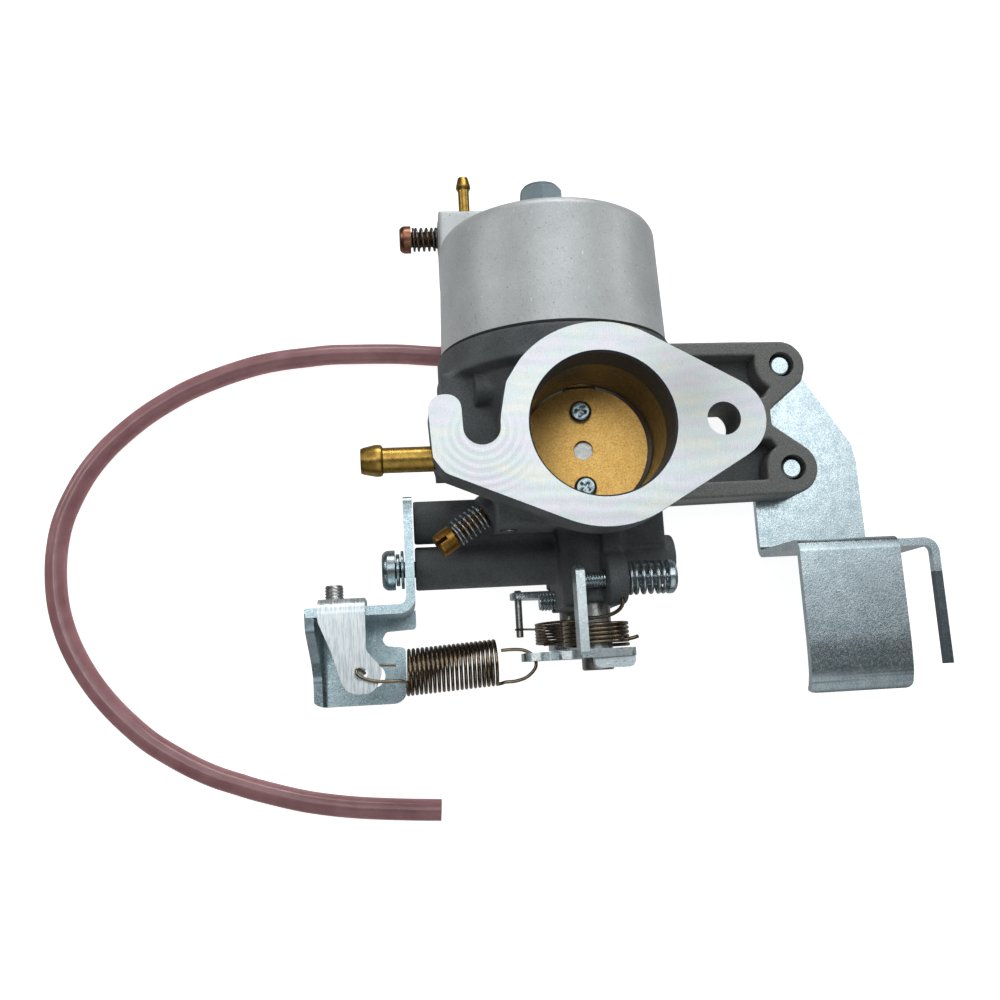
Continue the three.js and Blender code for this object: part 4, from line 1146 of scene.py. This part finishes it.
def add_adjuster():
    outline = rounded([(-68.9, -34, 0), (-57.4, -34, 0), (-57.4, -48.6, 3), (-53.4, -53.2, 3),
                       (-55.6, -58.9, 3.6), (-62.6, -58.9, 4), (-65.7, -48.7, 12), (-68.9, -41, 3)], 0, 6)
    section = bent_section([(-60, 51.4), (-36.3, 51.4), (-36.3, 36.5)], 1.9, 3.0)
    upright = block((-68.9, -57.4), (-39, -34), (36.5, 55))
    keep = worked(prism(outline, "z", 45, 55), joins=[upright], edge=0)
    cuts = [rod(1.6, "z", (-58.8, -54.1), 48, 55, steps=28)]
    lever = worked(prism(section, "x", -69.4, -53), keep=[keep], cuts=cuts, edge=0.35, steps=3)
    piece("adjuster_lever", lever, [BRUSHED])
    nut = prism(hexagon(ADJUSTER_AXIS, 4.4, 30), "y", -43.6, -40.1)
    chamfer = lathe([(0, -44), (3.9, -43.7), (4.5, -43), (4.5, -40), (0, -40)], "y", ADJUSTER_AXIS)
    nut = worked(nut, keep=[chamfer], edge=0.15)
    piece("adjuster_bolt", joined(nut, thread(2.4, "y", ADJUSTER_AXIS, -44.4, -31.6, 0.8, 0.3)))


# ---- cable bracket ---------------------------------------------------------------------------
def add_cable_bracket():
    path = [(38, 3.95), (-24.15, 3.95), (-24.15, 29.15), (-53, 29.15, 80), (-60.5, 28.55, 18),
            (-64.2, 27.1, 5), (-65.6, 25.5)]
    sheet = prism(bent_section(path, 2.3, 2.6), "x", 57, 95)
    back = rounded([(59.6, -30, 0), (93, -30, 0), (92.7, 3, 6), (91.8, 8.8, 5), (76, 34.4, 3), (74, 36, 1),
                    (60, 36, 3), (59.6, 30, 2)], 1, 5)
    shelf = prism([(59.6, 3), (93, 3), (91, 26), (91, 34), (62, 34), (62, 26), (59.6, 8)], "y", -30, -18)
    front = rounded(rectangle((62, 91), (-65.5, -19)), 1.8, 5)
    keep = worked(prism(back, "z", 0, 8), joins=[shelf, prism(front, "z", 24, 34)], edge=0)
    side = bent_section([(86, -24.15), (106.75, -24.15), (106.75, -59.5)], 2.3, 3.2)
    bar = block((85, 110), (-33, -22), (17.6, 20))
    shape = worked(block((85, 104.5), (-26, -22), (2, 20)), joins=[bar], edge=0)
    hook = worked(prism(side, "z", 2.8, 20), keep=[shape], edge=0)
    # The finger takes the second look, the painted shade of the zinc.
    finger = block((105.6, 107.9), (-59.5, -32.9), (17.6, 20))
    sheet = worked(sheet, keep=[keep], edge=0)
    bracket = worked(sheet, joins=[hook, (finger, 1)], edge=0.8, steps=3, angle=40)
    piece("cable_bracket", bracket, [ZINC, SHADED_ZINC], angle=30)
    for number, hole in enumerate(ARM["holes"], 1):
        head = screw_head("z", hole, 0.0, 1, 4.6, 2.5)
        end = lathe([(0, 16.6), (2.5, 16.6), (2.95, 16.2), (2.95, 15.8), (0, 15.8)], "z", hole, 40)
        shank = thread(3.0, "z", hole, 2.3, 16.1, 1.0, 0.4)
        piece(f"cable_bracket_screw_{number}", joined(head, shank, end))


# ---- set ---------------------------------------------------------------------------------------
def staged(name, mesh, look):
    """An object of the set, which shows to the camera but not in reflections."""
    data = bpy.data.meshes.new(name)
    mesh.to_mesh(data)
    mesh.free()
    data.materials.append(look.material)
    thing = bpy.data.objects.new(name, data)
    thing.visible_glossy = False
    bpy.context.scene.collection.objects.link(thing)
    return thing


def add_floor():
    look = Look("pale_floor", (0.86, 0.86, 0.86), 0.0, 0.6)
    look.colour(look.ramp(look.noise(60, 3), (0.3, 0.60), (0.7, 0.64)))
    look.shader.inputs["Emission Color"].default_value = (1, 1, 1, 1)
    look.shader.inputs["Emission Strength"].default_value = 0.88
    look.bump(look.noise(4, 3), 0.02)
    mesh = bmesh.new()
    bmesh.ops.create_circle(mesh, cap_ends=True, segments=96, radius=3)
    staged("floor", mesh, look)


def add_backdrop():
    """A pale wall round the set, which gives no light and casts no shadow."""
    look = Look("pale_wall", (0, 0, 0), 0.0, 1.0)
    look.colour(look.ramp(look.noise(400, 2), (0.3, 0.0), (0.7, 0.01)))
    look.shader.inputs["Emission Color"].default_value = (0.86, 0.87, 0.88, 1)
    look.shader.inputs["Emission Strength"].default_value = 0.9
    mesh = bmesh.new()
    bmesh.ops.create_uvsphere(mesh, u_segments=96, v_segments=48, radius=2.98)
    wall = staged("backdrop", mesh, look)
    wall.visible_diffuse = False
    wall.visible_transmission = False
    wall.visible_volume_scatter = False
    wall.visible_shadow = False


def add_light(name, where, target, size, power):
    data = bpy.data.lights.new(name, "AREA")
    data.shape = "RECTANGLE"
    data.size = size[0] * MM
    data.size_y = size[1] * MM
    data.energy = power
    light = bpy.data.objects.new(name, data)
    light.location = at(*where)
    light.rotation_euler = (at(*target) - light.location).to_track_quat("-Z", "Y").to_euler()
    bpy.context.scene.collection.objects.link(light)


def world_band(tree, source, stops):
    """Brightness along one axis of the direction, which runs from -1 to 1."""
    share = add_node(tree, "MapRange", {"Value": source, "From Min": -1})
    ramp = add_node(tree, "ValToRGB", {"Fac": share.outputs["Result"]})
    ramp.color_ramp.interpolation = "EASE"
    greys = [((place + 1) / 2, (value * 0.97, value * 0.99, value)) for place, value in stops]
    set_stops(ramp.color_ramp, greys)
    return ramp.outputs["Color"]


def combined(tree, operation, first, second):
    return add_node(tree, "VectorMath", {0: first, 1: second}, operation=operation).outputs["Vector"]


def add_surround():
    """A long softbox beyond the bowl, fading to the near side, the ends and the horizon, over a table."""
    world = bpy.data.worlds.new("surround")
    world.use_nodes = True
    tree = world.node_tree
    direction = add_node(tree, "TexCoord", {}).outputs["Generated"]
    split = add_node(tree, "SeparateXYZ", {"Vector": direction})
    x, y, z = (split.outputs[axis] for axis in "XYZ")
    along = world_band(tree, y, [(-1.0, 0.55), (-0.55, 0.45), (-0.3, 0.12), (-0.02, 0.07), (0.03, 0.22),
                                 (0.08, 0.30), (0.13, 1.3), (0.18, 1.9), (0.25, 1.6), (0.32, 1.05),
                                 (0.45, 1.1), (1.0, 0.5)])
    across = world_band(tree, x, [(-1.0, 0.45), (-0.62, 0.24), (-0.42, 0.42), (-0.2, 1.0), (0.0, 1.3),
                                  (0.14, 1.5), (0.32, 1.25), (0.5, 0.42), (0.65, 0.26), (1.0, 0.45)])
    upward = world_band(tree, z, [(-0.1, 0.06), (0.15, 0.45), (0.45, 0.9), (0.7, 1.0)])
    table = world_band(tree, z, [(-1.0, 0.30), (-0.4, 0.22), (-0.12, 0.0)])
    above = combined(tree, "MULTIPLY", combined(tree, "MULTIPLY", along, across), upward)
    tree.links.new(combined(tree, "ADD", above, table), tree.nodes["Background"].inputs["Color"])
    bpy.context.scene.world = world


def add_lights():
    add_light("far_flood", (60, 640, 300), (0, 0, 30), (460, 200), 1.3)
    add_light("left_flood", (-640, 300, 330), (0, 20, 30), (200, 200), 0.4)
    add_light("right_flood", (700, 330, 330), (30, 0, 30), (200, 200), 0.5)
    add_light("bore_light", (-240, 40, 650), (0, 0, 48), (120, 120), 0.16)
    add_surround()


def add_carried_nodes():
    """The inner parts are the CAD ones, with their own finishes."""
    for node, shape in frame["nodes"].items():
        if shape.hide_render:
            continue
        shape.data.materials.clear()
        shape.data.materials.append(LOOKS[SLOT_OF[node]])


def main():
    bpy.context.scene.view_settings.view_transform = "Standard"
    add_camera()
    add_hose()
    piece("carb_body", body_mesh(), [LOOKS["cast_body"], MACHINED, BORED, MOUTH], angle=45)
    add_bowl()
    add_nipples()
    add_drain_screw()
    add_pilot_screw()
    add_throttle()
    add_idle_stop()
    add_choke()
    add_governor_spring()
    add_anchor_bracket()
    add_adjuster()
    add_cable_bracket()
    add_carried_nodes()
    add_floor()
    add_backdrop()
    add_lights()


main()
